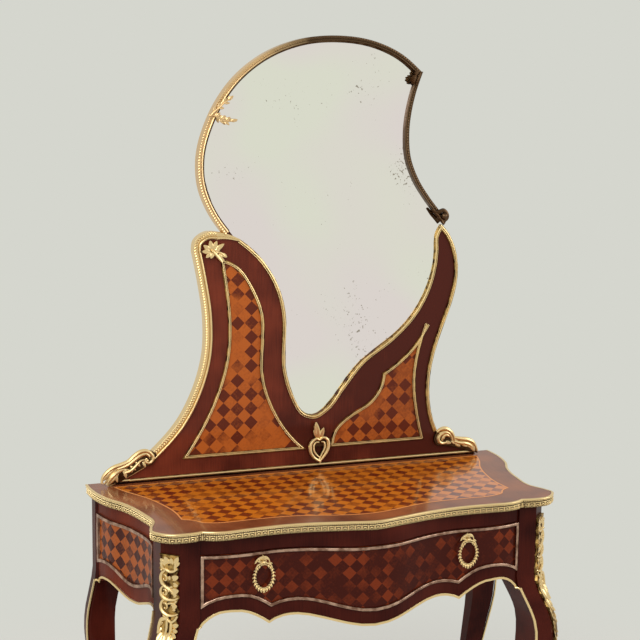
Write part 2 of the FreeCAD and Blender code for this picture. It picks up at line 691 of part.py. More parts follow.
def make_drawer():
    runs = outline_above(
        lower_edge(DRAWER_EDGE_MID_shares, DRAWER_EDGE_END_shares, DRAWER_SHRINK_share),
        DRAWER_TOP_Z)
    shape = plate(closed(runs), FRONT_Y - OVERRUN, BACK_Y)
    front = facade_slab(0, DRAWER_FRONT_THICK).common(shape)

    strips = frame_strip(runs, MOULDING_WIDTH, FRONT_Y - OVERRUN, BACK_Y)
    keep("drawer_frame_moulding", facade_slab(-MOULDING_PROUD, 0).common(strips))

    room = behind_facade(DRAWER_FRONT_THICK)
    inner_x = DRAWER_SIDE_X - DRAWER_SIDE_THICK
    side_top = BEARING_Z + DRAWER_SIDE_HEIGHT
    side = block(inner_x, DRAWER_SIDE_X, FRONT_Y, DRAWER_BACK_Y, BEARING_Z, side_top)
    keep_pair("drawer_side", side.common(room))
    back_y = DRAWER_BACK_Y - DRAWER_BACK_THICK
    keep("drawer_back", block(-inner_x, inner_x, back_y, DRAWER_BACK_Y, BEARING_Z, side_top))
    bottom = block(-inner_x, inner_x, FRONT_Y, back_y, BEARING_Z,
                   BEARING_Z + DRAWER_BOTTOM_THICK)
    keep("drawer_bottom", bottom.common(room))
    return front


# Ring pulls


def petal(centre, way, length, width, thick):
    """A flat pointed leaf in the XZ plane, as thick as it stands proud of its seat."""
    side = way.cross(BACKWARD)
    rim = [centre, centre + way * (length / 3) + side * (width / 2), centre + way * length,
           centre + way * (length / 3) - side * (width / 2)]
    base = Part.makePolygon(rim + rim[:1])
    return Part.Face(base).extrude(-BACKWARD * thick)


def scalloped_disc(centre):
    """The outline of a rosette: petal tips and the notches between them."""
    corners = []
    for i in range(ROSETTE_PETALS * 2 + 1):
        turn = pi * i / ROSETTE_PETALS
        radius = ROSETTE_RADIUS if i % 2 == 0 else ROSETTE_RADIUS * PETAL_NOTCH_share
        corners.append(centre + V(radius * cos(turn), 0, radius * sin(turn)))
    return Part.makePolygon(corners)


def lug_outline(pivot, face_y):
    """The side view of the lug: half of an octagon round the pin, and an arm to the face."""
    turns = [pi * (i + 0.5) / 4 for i in range(-3, 3)]
    tip = [pivot + V(0, -LUG_RADIUS * cos(turn), LUG_RADIUS * sin(turn)) for turn in turns]
    arms = [V(pivot.x, face_y, tip[i].z) for i in (-1, 0)]
    return Part.makePolygon(tip + arms + tip[:1])


def make_pull(x, drawer_front):
    """The fixed plate with its stud and lug, the nut behind, and the wreath."""
    face = facade_y(x)
    pivot = V(x, face - PIVOT_PROUD, PIVOT_Z)
    depth = DRAWER_FRONT_THICK + NUT_THICK

    base_y = face - ROSETTE_THICK
    rosette = prism(scalloped_disc(V(x, base_y, PIVOT_Z)), BACKWARD * ROSETTE_THICK * 2)
    bow = [petal(V(x, base_y + ROSETTE_THICK * 2, PIVOT_Z + BOW_WIDTH / 2),
                 V(turn, 0, lift).normalize(), BOW_LENGTH, BOW_WIDTH, ROSETTE_THICK * 2)
           for turn, lift in ((-1, 0.4), (1, 0.4), (0, 1))]
    lug = prism(lug_outline(pivot - ACROSS * (LUG_WIDTH / 2), face), ACROSS * LUG_WIDTH)
    stud = block(x - STUD_HALF, x + STUD_HALF, face - ROSETTE_THICK,
                 face - ROSETTE_THICK + depth, PIVOT_Z - STUD_HALF, PIVOT_Z + STUD_HALF)
    whole = joined([rosette, lug] + bow).cut(drawer_front)
    bore = Part.makeCylinder(PIN_RADIUS + PIN_CLEARANCE, WREATH_WIDTH,
                             pivot - ACROSS * (WREATH_WIDTH / 2), ACROSS)
    whole = whole.fuse(stud).cut(bore)

    nut_y = face + DRAWER_FRONT_THICK
    corners = [V(x + NUT_RADIUS * cos(pi * i / 3), nut_y, PIVOT_Z + NUT_RADIUS * sin(pi * i / 3))
               for i in range(7)]
    nut = prism(Part.makePolygon(corners), BACKWARD * NUT_THICK * 2)
    return whole, nut.cut(stud), wreath(pivot)


def bundle_ring(centre, way, radius):
    """One cross-section of a leaf bundle, square to the wreath's line."""
    out = way.cross(BACKWARD)
    ring = []
    for i in range(BUNDLE_SIDES + 1):
        turn = pi * 2 * i / BUNDLE_SIDES
        ring.append(centre + out * (radius * cos(turn)) + BACKWARD * (radius * sin(turn)))
    return ring


def bundle(first, last):
    """A flat-sided leaf bundle between two rings of corners."""
    faces = [Part.Face(Part.makePolygon(first)), Part.Face(Part.makePolygon(last))]
    for i in range(BUNDLE_SIDES):
        side = [first[i], first[i + 1], last[i + 1], last[i], first[i]]
        faces.append(Part.Face(Part.makePolygon(side)))
    return Part.makeSolid(Part.makeShell(faces))


def wreath(pivot):
    """Laurel bundles round an oval, hung by two arms from a pin that turns in the lug."""
    thick = WREATH_THICK / 2
    wide, tall = WREATH_WIDTH / 2 - thick, WREATH_HEIGHT / 2 - thick
    centre = pivot - UP * (LUG_RADIUS + HANGER_SLACK + WREATH_HEIGHT / 2)

    def place(step):
        turn = pi * 2 * step / WREATH_LEAVES
        return centre + V(wide * sin(turn), 0, tall * cos(turn))

    solids = []
    for i in range(WREATH_LEAVES):
        start, end = place(i), place(i + 1)
        way = (end - start).normalize()
        sizes = (thick, WREATH_NECK) if i < WREATH_LEAVES / 2 else (WREATH_NECK, thick)
        solids.append(bundle(bundle_ring(start, way, sizes[0]),
                             bundle_ring(end, way, sizes[1])))
    near = LUG_WIDTH / 2 + HANGER_SLACK
    reach = near + HANGER_WIDTH
    for x in (pivot.x - reach, pivot.x + near):
        solids.append(block(x, x + HANGER_WIDTH, pivot.y - LUG_RADIUS, pivot.y + LUG_RADIUS,
                            place(0).z, PIVOT_Z + PIN_RADIUS * 2))
    solids.append(Part.makeCylinder(PIN_RADIUS, near * 2, pivot - ACROSS * near, ACROSS))
    return joined(solids)


def make_pulls(front):
    plates, nuts = [], []
    for name, x in (("left", -PULL_X), ("right", PULL_X)):
        fixed, nut, ring = make_pull(x, front)
        front = front.cut(fixed)
        plates.append(fixed)
        keep("wreath_pull_" + name, ring)
        nuts.append(nut.cut(front))
    keep("handle_plates", Part.makeCompound(plates))
    keep("handle_nuts", Part.makeCompound(nuts))
    keep("drawer_front", front)


# Gilt trim of the carcass


def upright_strip(sizes, face, way, inward, proud_face, proud_way, proud):
    """A thin strip down one edge of a leg: beside one face and proud of another."""
    along = ACROSS * TABLE_WIDTH if way.y else BACKWARD * TABLE_DEPTH
    start = V(0, 0, 0) if way.y else BACKWARD * FRONT_Y
    wide = between(leg_line(sizes, face, way), leg_line(sizes, face, way, inward), along)
    other = ACROSS * TABLE_WIDTH if proud_way.y else BACKWARD * TABLE_DEPTH
    other_start = V(0, 0, 0) if proud_way.y else BACKWARD * FRONT_Y
    skin = between(leg_line(sizes, proud_face, proud_way),
                   leg_line(sizes, proud_face, proud_way, proud), other)
    return wide.translate(start).common(skin.translate(other_start))


def leg_strip(sizes, corner, top_z):
    """The gilt strip on an inner edge of a leg, from the apron down to the sabot."""
    if corner == "front":
        strip = upright_strip(sizes, 1, ACROSS, FILLET_WIDTH, 4, BACKWARD, -FILLET_PROUD)
    elif corner == "side":
        strip = upright_strip(sizes, 3, BACKWARD, -FILLET_WIDTH, 2, ACROSS, FILLET_PROUD)
    else:
        strip = upright_strip(sizes, 4, BACKWARD, FILLET_WIDTH, 2, ACROSS, FILLET_PROUD)
    return strip.common(level_block(SABOT_HEIGHT, top_z))


def make_apron_fillets():
    lower = lower_edge(APRON_EDGE_MID_shares, APRON_EDGE_END_shares)
    strips = bands(lower, FILLET_WIDTH, BACKWARD, FILLET_WIDTH, BACKWARD * TABLE_DEPTH)
    strips = strips.translate(BACKWARD * (FRONT_Y - OVERRUN))
    inside = plate(closed(outline_above(lower, CARCASS_Z)), FRONT_Y - OVERRUN, BACK_Y)
    apron = facade_slab(-FILLET_PROUD, 0).common(strips).common(inside)
    leg = leg_strip(FRONT_LEG, "front", lower[-1][-1].z + FILLET_WIDTH)
    keep("apron_fillet_front", Part.makeCompound([apron, leg, mirrored(leg)]))

    edge = [side_point(s, d) for s, d in SIDE_EDGE_shares]
    strip = bands([edge], FILLET_WIDTH, -ACROSS, 0, ACROSS * TABLE_WIDTH)
    side = side_slab(FILLET_PROUD, 0).common(strip)
    side = side.common(block(0, TABLE_WIDTH, POST_BACK_Y, BACK_LEG_FRONT_Y, 0, TOP_Z))
    fore = leg_strip(FRONT_LEG, "side", edge[-1].z + FILLET_WIDTH)
    aft = leg_strip(BACK_LEG, "back", edge[0].z + FILLET_WIDTH)
    keep("apron_fillets_side", Part.makeCompound(
        [piece for right in (side, fore, aft) for piece in (right, mirrored(right))]))


def make_corner_mounts():
    """An openwork chain of leaf loops above a long acanthus leaf, over the knee."""
    skin = cant_prism(FRONT_LEG, MOUNT_THICK, leg_line(FRONT_LEG, 5, OUTWARD))
    half = FRONT_LEG_CANT * ALONG.x
    post = leg_row(LEG_shares[0], FRONT_LEG)
    middle = V(post[2] - FRONT_LEG_CANT / 2, post[4] + FRONT_LEG_CANT / 2, 0).dot(ALONG)
    top = CARCASS_Z - MOUNT_TOP_DROP
    count = MOUNT_LOOPS + MOUNT_TONGUES
    edge, holes = [], []
    for i in range(count):
        z = top - MOUNT_PITCH * i
        fade = 1 if i < MOUNT_LOOPS else 1 - (i - MOUNT_LOOPS) / (MOUNT_TONGUES + 1)
        edge += [(half * fade, z), (half * fade * WAIST_share, z - MOUNT_PITCH * WAIST_share)]
        hole = MOUNT_HOLE / 2 * fade
        mid = z - MOUNT_PITCH / 2
        holes.append([(0, mid + MOUNT_HOLE), (hole, mid), (0, mid - MOUNT_HOLE), (-hole, mid)])
    outline = edge + [(0, top - MOUNT_PITCH * count)] + [(-t, z) for t, z in reversed(edge)]

    def cutter(points):
        ring = [ALONG * (middle + t) + UP * z for t, z in points]
        return prism(Part.makePolygon(ring + ring[:1]), OUTWARD * TABLE_WIDTH)

    mount = skin.common(cutter(outline))
    for hole in holes[:MOUNT_LOOPS + 2]:
        mount = mount.cut(cutter(hole))
    keep("corner_mounts", Part.makeCompound([mount, mirrored(mount)]))


# Mirror stand


def panel_runs():
    return [stand_run(shares) for shares in (
        WING_LEFT_shares, SHOULDER_shares, SIGHT_shares, WING_RIGHT_shares,
        TOE_RIGHT_shares)]


def glass_plate(front_y, back_y):
    """A straight-cut sheet that covers the sight opening from behind."""
    return plate(Part.makePolygon(closed_points(GLASS_shares)), front_y, back_y)


def make_stand(tenons):
    panel_outline = closed(panel_runs(), True)
    rebate = glass_plate(GLASS_FRONT_Y, STAND_BACK_Y)
    panel = plate(panel_outline, STAND_FRONT_Y, STAND_BACK_Y).cut(rebate)
    for tongue in tenons:
        panel = panel.cut(tongue)
    keep("stand_panel", panel)

    keep("mirror_glass", glass_plate(GLASS_FRONT_Y, GLASS_BACK_Y))
    keep("mirror_backboard", glass_plate(GLASS_BACK_Y, STAND_BACK_Y))

    frame_runs = [stand_run(FRAME_LEFT_shares), stand_run(FRAME_RIGHT_shares),
                  stand_run(OPENING_RIGHT_shares)[::-1], stand_run(OPENING_LEFT_shares)[::-1]]
    frame = closed(frame_runs, True)
    below = plate(panel_outline, STAND_FRONT_Y - OVERRUN, STAND_BACK_Y + OVERRUN)
    rail = plate(closed(frame_runs), GLASS_FRONT_Y, STAND_BACK_Y).cut(rebate).cut(below)
    keep("mirror_frame_rail", rail)
    band = plate(frame, STAND_FRONT_Y - FRAME_PROUD, GLASS_FRONT_Y).cut(below)
    keep("mirror_frame_band", band)
    return below


def make_battens():
    solids = []
    whole = plate(closed(panel_runs()), STAND_BACK_Y, BACK_Y).fuse(
        glass_plate(STAND_BACK_Y, BACK_Y))
    for side in (-1, 1):
        x = BATTEN_SHIFT + side * BATTEN_SPACING / 2
        strip = block(x - BATTEN_WIDTH / 2, x + BATTEN_WIDTH / 2, STAND_BACK_Y, BACK_Y,
                      TOP_Z, TOP_Z + MIRROR_RISE)
        solids.append(strip.common(whole))
    keep("stand_battens", Part.makeCompound(solids))


def on_panel(shape):
    """Only what lies in front of the panel's own outline."""
    return shape.common(plate(closed(panel_runs()), FRONT_Y, STAND_FRONT_Y))


def make_stand_trim():
    face = STAND_FRONT_Y
    left = [stand_run(WING_LEFT_shares), stand_run(SHOULDER_shares)]
    wing = bands(left, -WING_BAND_WIDTH, BACKWARD, 0, BACKWARD * WING_BAND_PROUD)
    wing = wing.translate(BACKWARD * (face - WING_BAND_PROUD))
    sight = on_panel(bands([stand_run(SIGHT_shares)], -WING_FILLET_WIDTH, BACKWARD, 0,
                           BACKWARD * PANEL_FILLET_PROUD)
                     .translate(BACKWARD * (face - PANEL_FILLET_PROUD)))
    wing = on_panel(wing).cut(sight)
    base = base_fillet().cut(wing)
    keep("stand_band_left", wing)
    keep("stand_base_fillet", base)
    keep("sight_fillet", sight)
    right = on_panel(bands([stand_run(WING_RIGHT_shares)], -WING_FILLET_WIDTH, BACKWARD, 0,
                           BACKWARD * PANEL_FILLET_PROUD)
                     .translate(BACKWARD * (face - PANEL_FILLET_PROUD)))
    keep("stand_fillet_right", right.cut(sight).cut(base))


def base_fillet():
    low = TOP_Z + BASE_FILLET_LIFT
    strip = block(-HALF_WIDTH, HALF_WIDTH, STAND_FRONT_Y - PANEL_FILLET_PROUD, STAND_FRONT_Y,
                  low, low + BASE_FILLET_WIDTH)
    return on_panel(strip)


def make_panel_fillets():
    left = [stand_run(FIELD_LEFT_OUT_shares), stand_run(FIELD_LEFT_IN_shares)]
    left.append([left[1][-1], left[0][0]])
    right = [stand_run(FIELD_RIGHT_IN_shares), stand_run(FIELD_RIGHT_UP_shares),
             stand_run(FIELD_RIGHT_OUT_shares)]
    right.append([right[2][-1], right[0][0]])
    front = STAND_FRONT_Y - PANEL_FILLET_PROUD
    for name, runs in (("left", left), ("right", right)):
        strip = frame_strip(runs, -PANEL_FILLET_WIDTH, front, STAND_FRONT_Y)
        keep("panel_fillet_" + name, strip)


def cast(runs, front_y, back_y):
    return plate(closed(runs), front_y, back_y)


def make_ornaments():
    face = STAND_FRONT_Y
    proud = face - ORNAMENT_THICK
    scroll = cast([stand_run(SCROLL_RIGHT_shares), stand_run(SCROLL_RIGHT_UNDER_shares)],
                  proud, face)
    keep("scroll_mount_right", scroll.cut(made["stand_fillet_right"])
         .cut(made["stand_base_fillet"]))
    scroll = cast([stand_run(SCROLL_LEFT_shares), stand_run(SCROLL_LEFT_UNDER_shares)],
                  proud, face)
    keep("scroll_mount_left", scroll.cut(made["stand_band_left"])
         .cut(made["stand_base_fillet"]))

    leaf = Part.makePolygon(closed_points(SHOULDER_LEAF_shares))
    keep("shoulder_leaf_mount", plate(leaf, proud, face).cut(made["stand_band_left"])
         .cut(made["panel_fillet_left"]))
    frame_face = STAND_FRONT_Y - FRAME_PROUD
    leaves = [plate(Part.makePolygon(closed_points(shares)), frame_face - FILLET_PROUD * 2,
                    frame_face) for shares in (SPRIG_shares, CORNER_LEAF_shares)]
    keep("mirror_leaf_mounts", Part.makeCompound(leaves))
    finial = plate(Part.makePolygon(closed_points(FINIAL_shares)),
                   frame_face - FILLET_PROUD * 2, frame_face)
    keep("scroll_finial", finial)

    heart = plate(Part.makePolygon(closed_points(HEART_shares)), proud, face)
    hole = plate(Part.makePolygon(closed_points(HEART_HOLE_shares)), proud - OVERRUN, face
                 + OVERRUN)
    sprig = plate(Part.makePolygon(closed_points(HEART_SPRIG_shares)), proud, face)
    keep("heart_pendant", heart.cut(hole).fuse(sprig).cut(made["stand_base_fillet"]))


def closed_points(shares):
    points = stand_run(shares)
    return points + points[:1]


make_legs()
make_sides()
make_back()
make_front_rails()
make_runners()
make_corner_blocks()
stand_tongues = make_tenons()
make_top(stand_tongues)
make_pulls(make_drawer())
make_apron_fillets()
make_corner_mounts()
make_stand(stand_tongues)
make_battens()
make_stand_trim()
make_panel_fillets()
make_ornaments()

os.makedirs("parts", exist_ok=True)
for node, shape in made.items():
    shape.exportStep("parts/%s.step" % node)
    print(node, len(shape.Solids), "solids", round(shape.Volume), "mm3", shape.isValid())
print(len(made), "nodes")
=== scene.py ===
from math import cos, pi, radians, sin

import bmesh
import bpy
from bpy.props import FloatProperty, FloatVectorProperty, PointerProperty
from mathutils import Matrix, Vector, geometry


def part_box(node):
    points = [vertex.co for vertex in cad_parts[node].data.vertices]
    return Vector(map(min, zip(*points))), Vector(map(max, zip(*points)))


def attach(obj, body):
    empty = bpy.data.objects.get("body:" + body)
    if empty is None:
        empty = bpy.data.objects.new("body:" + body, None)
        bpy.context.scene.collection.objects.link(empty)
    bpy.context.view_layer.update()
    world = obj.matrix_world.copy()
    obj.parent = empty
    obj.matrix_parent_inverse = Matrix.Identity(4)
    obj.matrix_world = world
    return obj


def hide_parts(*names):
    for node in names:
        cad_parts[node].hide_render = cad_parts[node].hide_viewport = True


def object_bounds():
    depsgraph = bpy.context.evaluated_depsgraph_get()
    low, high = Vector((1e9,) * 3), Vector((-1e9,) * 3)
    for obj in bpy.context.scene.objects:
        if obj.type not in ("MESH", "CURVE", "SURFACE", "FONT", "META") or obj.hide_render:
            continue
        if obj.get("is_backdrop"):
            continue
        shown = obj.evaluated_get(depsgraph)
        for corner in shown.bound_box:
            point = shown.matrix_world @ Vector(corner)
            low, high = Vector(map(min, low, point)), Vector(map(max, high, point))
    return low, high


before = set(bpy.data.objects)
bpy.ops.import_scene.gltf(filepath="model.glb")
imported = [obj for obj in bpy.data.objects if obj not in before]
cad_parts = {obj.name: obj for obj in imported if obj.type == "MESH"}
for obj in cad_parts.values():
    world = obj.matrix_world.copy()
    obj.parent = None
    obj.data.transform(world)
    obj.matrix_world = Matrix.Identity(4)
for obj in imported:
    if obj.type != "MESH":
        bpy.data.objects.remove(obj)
construction_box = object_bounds()

bl_info = {
    "name": "Serpentine dressing table",
    "version": (1, 0, 0),
    "blender": (4, 5, 0),
    "location": "3D View > Sidebar > Dressing table",
    "description": "Veneer, gilt bronze and glass for a dressing table with a mirror stand",
    "category": "Object",
}

MM = 0.001
UP = Vector((0, 0, 1))
FORWARD = Vector((0, -1, 0))
# Out from the canted corner of the right front leg, and level along its face
OUTWARD = Vector((1, -1, 0)).normalized()
ALONG = Vector((1, 1, 0)).normalized()

# Places taken from the construction
TOP_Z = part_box("table_top")[1].z
CARCASS_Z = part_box("table_top")[0].z
BACK_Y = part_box("table_top")[1].y
HALF_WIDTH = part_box("edge_band_sides")[1].x
DEPTH = BACK_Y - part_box("edge_band_front")[0].y
STAND_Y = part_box("stand_panel")[0].y
FRAME_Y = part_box("mirror_frame_band")[0].y

# Sizes that the construction is built to, in metres: the stand's height above the top, a
# side's back and front ends, the drop that a side's edge is given in shares of, the height of
# the pulls' pins, and how far in the left scroll covers the stand's edge
RISE = 0.996
SIDE_BACK_Y = 0.190
SIDE_FRONT_Y = -0.089
SIDE_DROP = 0.193
PULL_Z = 0.683
SCROLL_END_X = -0.375

# Camera and lamps: places and widths in metres, the camera's turn to the right, its tilt down
# and its roll in degrees, and its focal length for a frame 36 mm wide
CAMERA_PLACE = (-1.18339, -2.8657, 1.61699)
CAMERA_TURN, CAMERA_TILT, CAMERA_ROLL = 21.72, 8.71, 0.77
CAMERA_LENS, CAMERA_FRAME = 81.5625, 36
KEY_PLACE = (-2.0, -2.2, 2.6)
FILL_PLACE = (3.4, -1.6, 2.4)
LAMP_WIDTH = 2.0
LAMP_AIM = Vector((0, 0, 0.9))

# Plan of the top: shares of the half width and of the depth, from the back edge
TOP_SIDE = [
    (1.0, 0.0), (1.0, 0.070), (0.992, 0.160), (0.966, 0.269), (0.921, 0.371), (0.881, 0.551),
    (0.871, 0.689), (0.901, 0.773), (0.911, 0.822), (0.887, 0.871), (0.842, 0.907),
    (0.792, 0.915), (0.719, 0.905)]
TOP_FRONT = [
    (0.719, 0.905), (0.673, 0.928), (0.628, 0.936), (0.574, 0.932), (0.485, 0.926),
    (0.386, 0.926), (0.277, 0.939), (0.109, 0.977), (0.0, 1.0)]

# A side: its plan in the same shares. Its parquetry has a lower edge, in shares of the side's
# length from the back and of its drop, and a level top edge, in a share of the drop.
SIDE_PLAN = [
    (0.974, 0.017), (0.960, 0.121), (0.933, 0.250), (0.895, 0.337), (0.865, 0.451),
    (0.849, 0.557), (0.849, 0.627), (0.857, 0.688)]
SIDE_FRAME = [
    (0.011, 0.756), (0.115, 0.715), (0.222, 0.710), (0.305, 0.746), (0.373, 0.798),
    (0.452, 0.834), (0.541, 0.834), (0.638, 0.798), (0.781, 0.725), (0.892, 0.710),
    (0.961, 0.756)]
SIDE_FRAME_TOP = 0.176

# The light line inlaid in the top, in metres, from the back left corner to the back right
STRINGING = [
    [(-0.449, 0.192), (-0.435, 0.150), (-0.407, 0.092), (-0.386, 0.022), (-0.377, -0.036),
     (-0.378, -0.095)],
    [(-0.378, -0.095), (-0.358, -0.108), (-0.343, -0.130), (-0.311, -0.142),
     (-0.256, -0.142), (-0.200, -0.142), (-0.153, -0.145), (-0.109, -0.156),
     (-0.066, -0.169), (-0.023, -0.178), (0.023, -0.178), (0.066, -0.169),
     (0.109, -0.156), (0.153, -0.145), (0.200, -0.142), (0.256, -0.142), (0.311, -0.142),
     (0.343, -0.130), (0.358, -0.108), (0.378, -0.095)],
    [(0.378, -0.095), (0.377, -0.036), (0.386, 0.022), (0.407, 0.092), (0.435, 0.150),
     (0.449, 0.192)]]

# Lines of the mirror stand, sideways from its middle and up from the top, in shares of its
# height
WING_LEFT = [
    (-0.463, 0.0), (-0.420, 0.020), (-0.361, 0.068), (-0.299, 0.134), (-0.261, 0.206),
    (-0.240, 0.282), (-0.238, 0.367), (-0.250, 0.449), (-0.264, 0.517)]
SHOULDER = [
    (-0.264, 0.517), (-0.261, 0.541), (-0.236, 0.561), (-0.199, 0.560), (-0.155, 0.544)]
FRAME_LEFT = [
    (-0.192, 0.555), (-0.222, 0.596), (-0.250, 0.662), (-0.254, 0.722), (-0.230, 0.810),
    (-0.169, 0.903), (-0.106, 0.953), (-0.011, 0.991), (0.072, 1.0), (0.172, 0.988),
    (0.233, 0.963), (0.288, 0.921)]
FRAME_RIGHT = [
    (0.288, 0.921), (0.271, 0.872), (0.257, 0.783), (0.262, 0.727), (0.283, 0.676),
    (0.312, 0.634), (0.352, 0.588)]
FIELD_LEFT = [
    [(-0.289, 0.047), (-0.236, 0.132), (-0.203, 0.207), (-0.186, 0.271), (-0.181, 0.343),
     (-0.186, 0.408), (-0.200, 0.500)],
    [(-0.200, 0.500), (-0.159, 0.482), (-0.122, 0.432), (-0.098, 0.371), (-0.096, 0.304),
     (-0.097, 0.235), (-0.072, 0.152), (-0.018, 0.073), (0.011, 0.047)]]
FIELD_RIGHT = [
    [(0.072, 0.048), (0.083, 0.088), (0.124, 0.123), (0.174, 0.152), (0.201, 0.195),
     (0.204, 0.216)],
    [(0.204, 0.216), (0.245, 0.243), (0.294, 0.291), (0.318, 0.330)],
    [(0.318, 0.330), (0.299, 0.269), (0.289, 0.192), (0.298, 0.116), (0.315, 0.048)]]
SIGHT = [
    (-0.155, 0.544), (-0.100, 0.496), (-0.056, 0.422), (-0.041, 0.348), (-0.042, 0.248),
    (-0.023, 0.180), (0.010, 0.132), (0.030, 0.127), (0.059, 0.142), (0.098, 0.189),
    (0.149, 0.249), (0.226, 0.303), (0.281, 0.357), (0.319, 0.428), (0.333, 0.505),
    (0.333, 0.540), (0.348, 0.568)]
WING_RIGHT = [
    (0.348, 0.568), (0.369, 0.545), (0.391, 0.494), (0.395, 0.443), (0.380, 0.375),
    (0.348, 0.288), (0.328, 0.199), (0.333, 0.117), (0.350, 0.068)]

# Canted corner of a front leg, in metres: height and distance of its face from the middle of
# the table, and how far along the face's level way its middle is
KNEE = [
    (0.740, 0.41153), (0.6001, 0.41153), (0.5498, 0.41832), (0.5143, 0.43595),
    (0.4847, 0.44953), (0.4351, 0.45679), (0.4003, 0.45270), (0.3397, 0.43135),
    (0.2597, 0.39775)]
CANT_MIDDLE = 0.1846

# The middle of one square of each parquetry field, in metres
TOP_START = Vector((0, 0, 0))
SIDE_START = Vector((0, 0, 0.65))
DRAWER_START = Vector((0, 0, 0.65))
LEFT_START = Vector((-0.1577, 0, 1.1437))
RIGHT_START = Vector((0.1968, 0, 0.8772))

# Thin plates, in millimetres: the parquetry of the stand and the sides with the strip of
# painted shadow at the stand's foot, the parquetry of the top, and the light line's profile
FIELD_THICK = 0.3
TOP_FIELD_THICK = 0.15
STRINGING_PROFILE = [(-1.6, 0), (-1.6, 0.25), (1.6, 0.25), (1.6, 0)]

# The band round the top, in millimetres in from its line and up from the top's underside: its
# lip and its hollow ground, the seat, height and radius of its beads, and the seat and the
# thickness of its leaves. A leaf has its root and its tip beside the middle of its unit, and
# its width. A bud has its place and its radius.
BAND_LIP = [
    (5.8, 15.8), (5.8, 20), (1.4, 20), (0.5, 19.5), (0.1, 18.5), (0.6, 17.3), (1.6, 16.7),
    (3.0, 16.4), (3.0, 15.8)]
BAND_GROUND = [
    (5.8, 0.3), (5.8, 15.8), (3.4, 15.8), (3.2, 13.7), (1.9, 13.4), (1.9, 12.7), (3.4, 12.4),
    (4.0, 1.0), (3.4, 0.3)]
BEAD_SEAT, BEAD_HEIGHT, BEAD_RADIUS = 2.2, 15.1, 1.25
LEAF_SEAT, LEAF_THICK = 2.6, 3.2
BAND_LEAVES = [(0, 12.6, 0, 0.5, 4.6), (-5.0, 7.6, -2.6, 1.0, 2.5), (5.0, 7.6, 2.6, 1.0, 2.5),
               (5.6, 3.4, 8.0, 0.8, 2.2)]
BAND_BUDS = [(-4.0, 10.6, 1.5), (4.0, 10.6, 1.5), (7.0, 6.6, 1.6), (7.0, 11.2, 1.2)]

# The stand's band and the mirror's frame, in millimetres in from their line and out from their
# plane. The points 60 mm behind the plane are brought forward to the back of the board that
# the band edges. The dark strip along the glass on the frame's left paints the rebate's shadow.
BAND_PROFILE = [
    (0, -60), (0, -0.6), (0.8, 0.2), (8.4, 0.2), (8.9, -2.2), (10.2, -2.2), (10.8, -0.4),
    (16.4, -0.4), (17.2, -1.2), (17.2, -6.4), (0.6, -6.4), (0.6, -60)]
FRAME_PROFILE = [
    (0, -60), (0, -0.2), (0.8, 0.9), (6.4, 0.9), (6.8, -1.0), (7.4, -1.0), (7.8, 0.9),
    (10.6, 0.9), (11.2, 0.2), (11.2, -11.8), (0.5, -11.8), (0.5, -60)]
SIGHT_SHADOW_STRIP = [(10.6, -2.4), (14.6, -2.7), (15.2, -3.5), (10.6, -3.5)]

# Both follow their line in steps of so many millimetres. The stand's band narrows to a share
# of its width over its last steps, at the shoulder's tip, and to another share under the left
# scroll.
BAND_STEP = 5
TIP_SHARE, TIP_STEPS = 0.3, 11
FOOT_SHARE = 0.15

# Ropes, in millimetres: width, thickness and slant of a strand, and the seats of the two
# ropes in from their line
ROPE_WIDTH, ROPE_THICK, ROPE_SLANT = 4.4, 4.6, 2.6
BAND_ROPE_SEAT, FRAME_ROPE_SEAT = 4.2, 3.2

# Rods, in millimetres: distance in from their line, and radius
BAND_ROD = (13.6, 2.5)
FRAME_ROD = (9.2, 1.8)
FIELD_RODS = [(2.5, 1.3), (5.6, 0.7)]
EDGE_RODS = [(SIGHT, 3.6, 1.9), (SIGHT, 7.6, 0.7), (WING_RIGHT, 3.0, 1.7),
             (WING_RIGHT, 6.6, 0.7)]

# The rod of the stand's foot, in millimetres: height up the fillet and radius, then the
# length, set-back and radius of its tail, which runs on under the left scroll
FOOT_ROD_HEIGHT, FOOT_ROD_RADIUS = 3.2, 2.4
FOOT_TAIL, FOOT_TAIL_BACK, FOOT_TAIL_RADIUS = 30, 2, 2.6

# How far the glass leans forward at its top, in millimetres
GLASS_LEAN = 7.5

# Short rods that join the right-hand fillets over the edges of the legs, in millimetres
FILLET_JOINTS = [
    [(361, -173.4, 555.4), (365.5, -176.8, 555.4), (370, -180.2, 553)],
    [(433.6, -86, 564), (436.6, -89.2, 565), (439, -91.6, 568)],
    [(487.2, 186, 550.4), (491.4, 190, 552.6), (495.6, 192.6, 551)]]
JOINT_RADIUS = 2.4

# The wreaths, in millimetres from their pin: how far down their middle is, their half width
# and half height, the cord from the pin to the ring and its radius, and the pin's half length
# and radius. Half a wreath is so many steps long, and has pairs of leaves at steps from the
# start on.
WREATH_DROP, WREATH_WIDE, WREATH_TALL = 31.5, 20.5, 26.5
WREATH_CORD = [(2.0, -0.5), (7.0, -2.5), (11.5, -3.6), (15.5, -8.0), (17.6, -13.5)]
CORD_RADIUS = 1.7
PIN_HALF, PIN_RADIUS = 5.6, 1.5
LAUREL_PAIRS, LAUREL_START, LAUREL_STEPS = 11, 1.6, 12.2

# How far the parts of a casting stand out, in millimetres: strands, roots and tips of leaves,
# and eyes. The corner mounts stand out so many times further.
STRAND_LIFT, ROOT_LIFT, TIP_LIFT, EYE_LIFT = 2.4, 1.4, 2.6, 3.2
CORNER_RELIEF = 2.4
# How deep the bows and the ornaments sit in what carries them, in millimetres
BOW_DEPTH, ORNAMENT_DEPTH = 2.4, 1.6

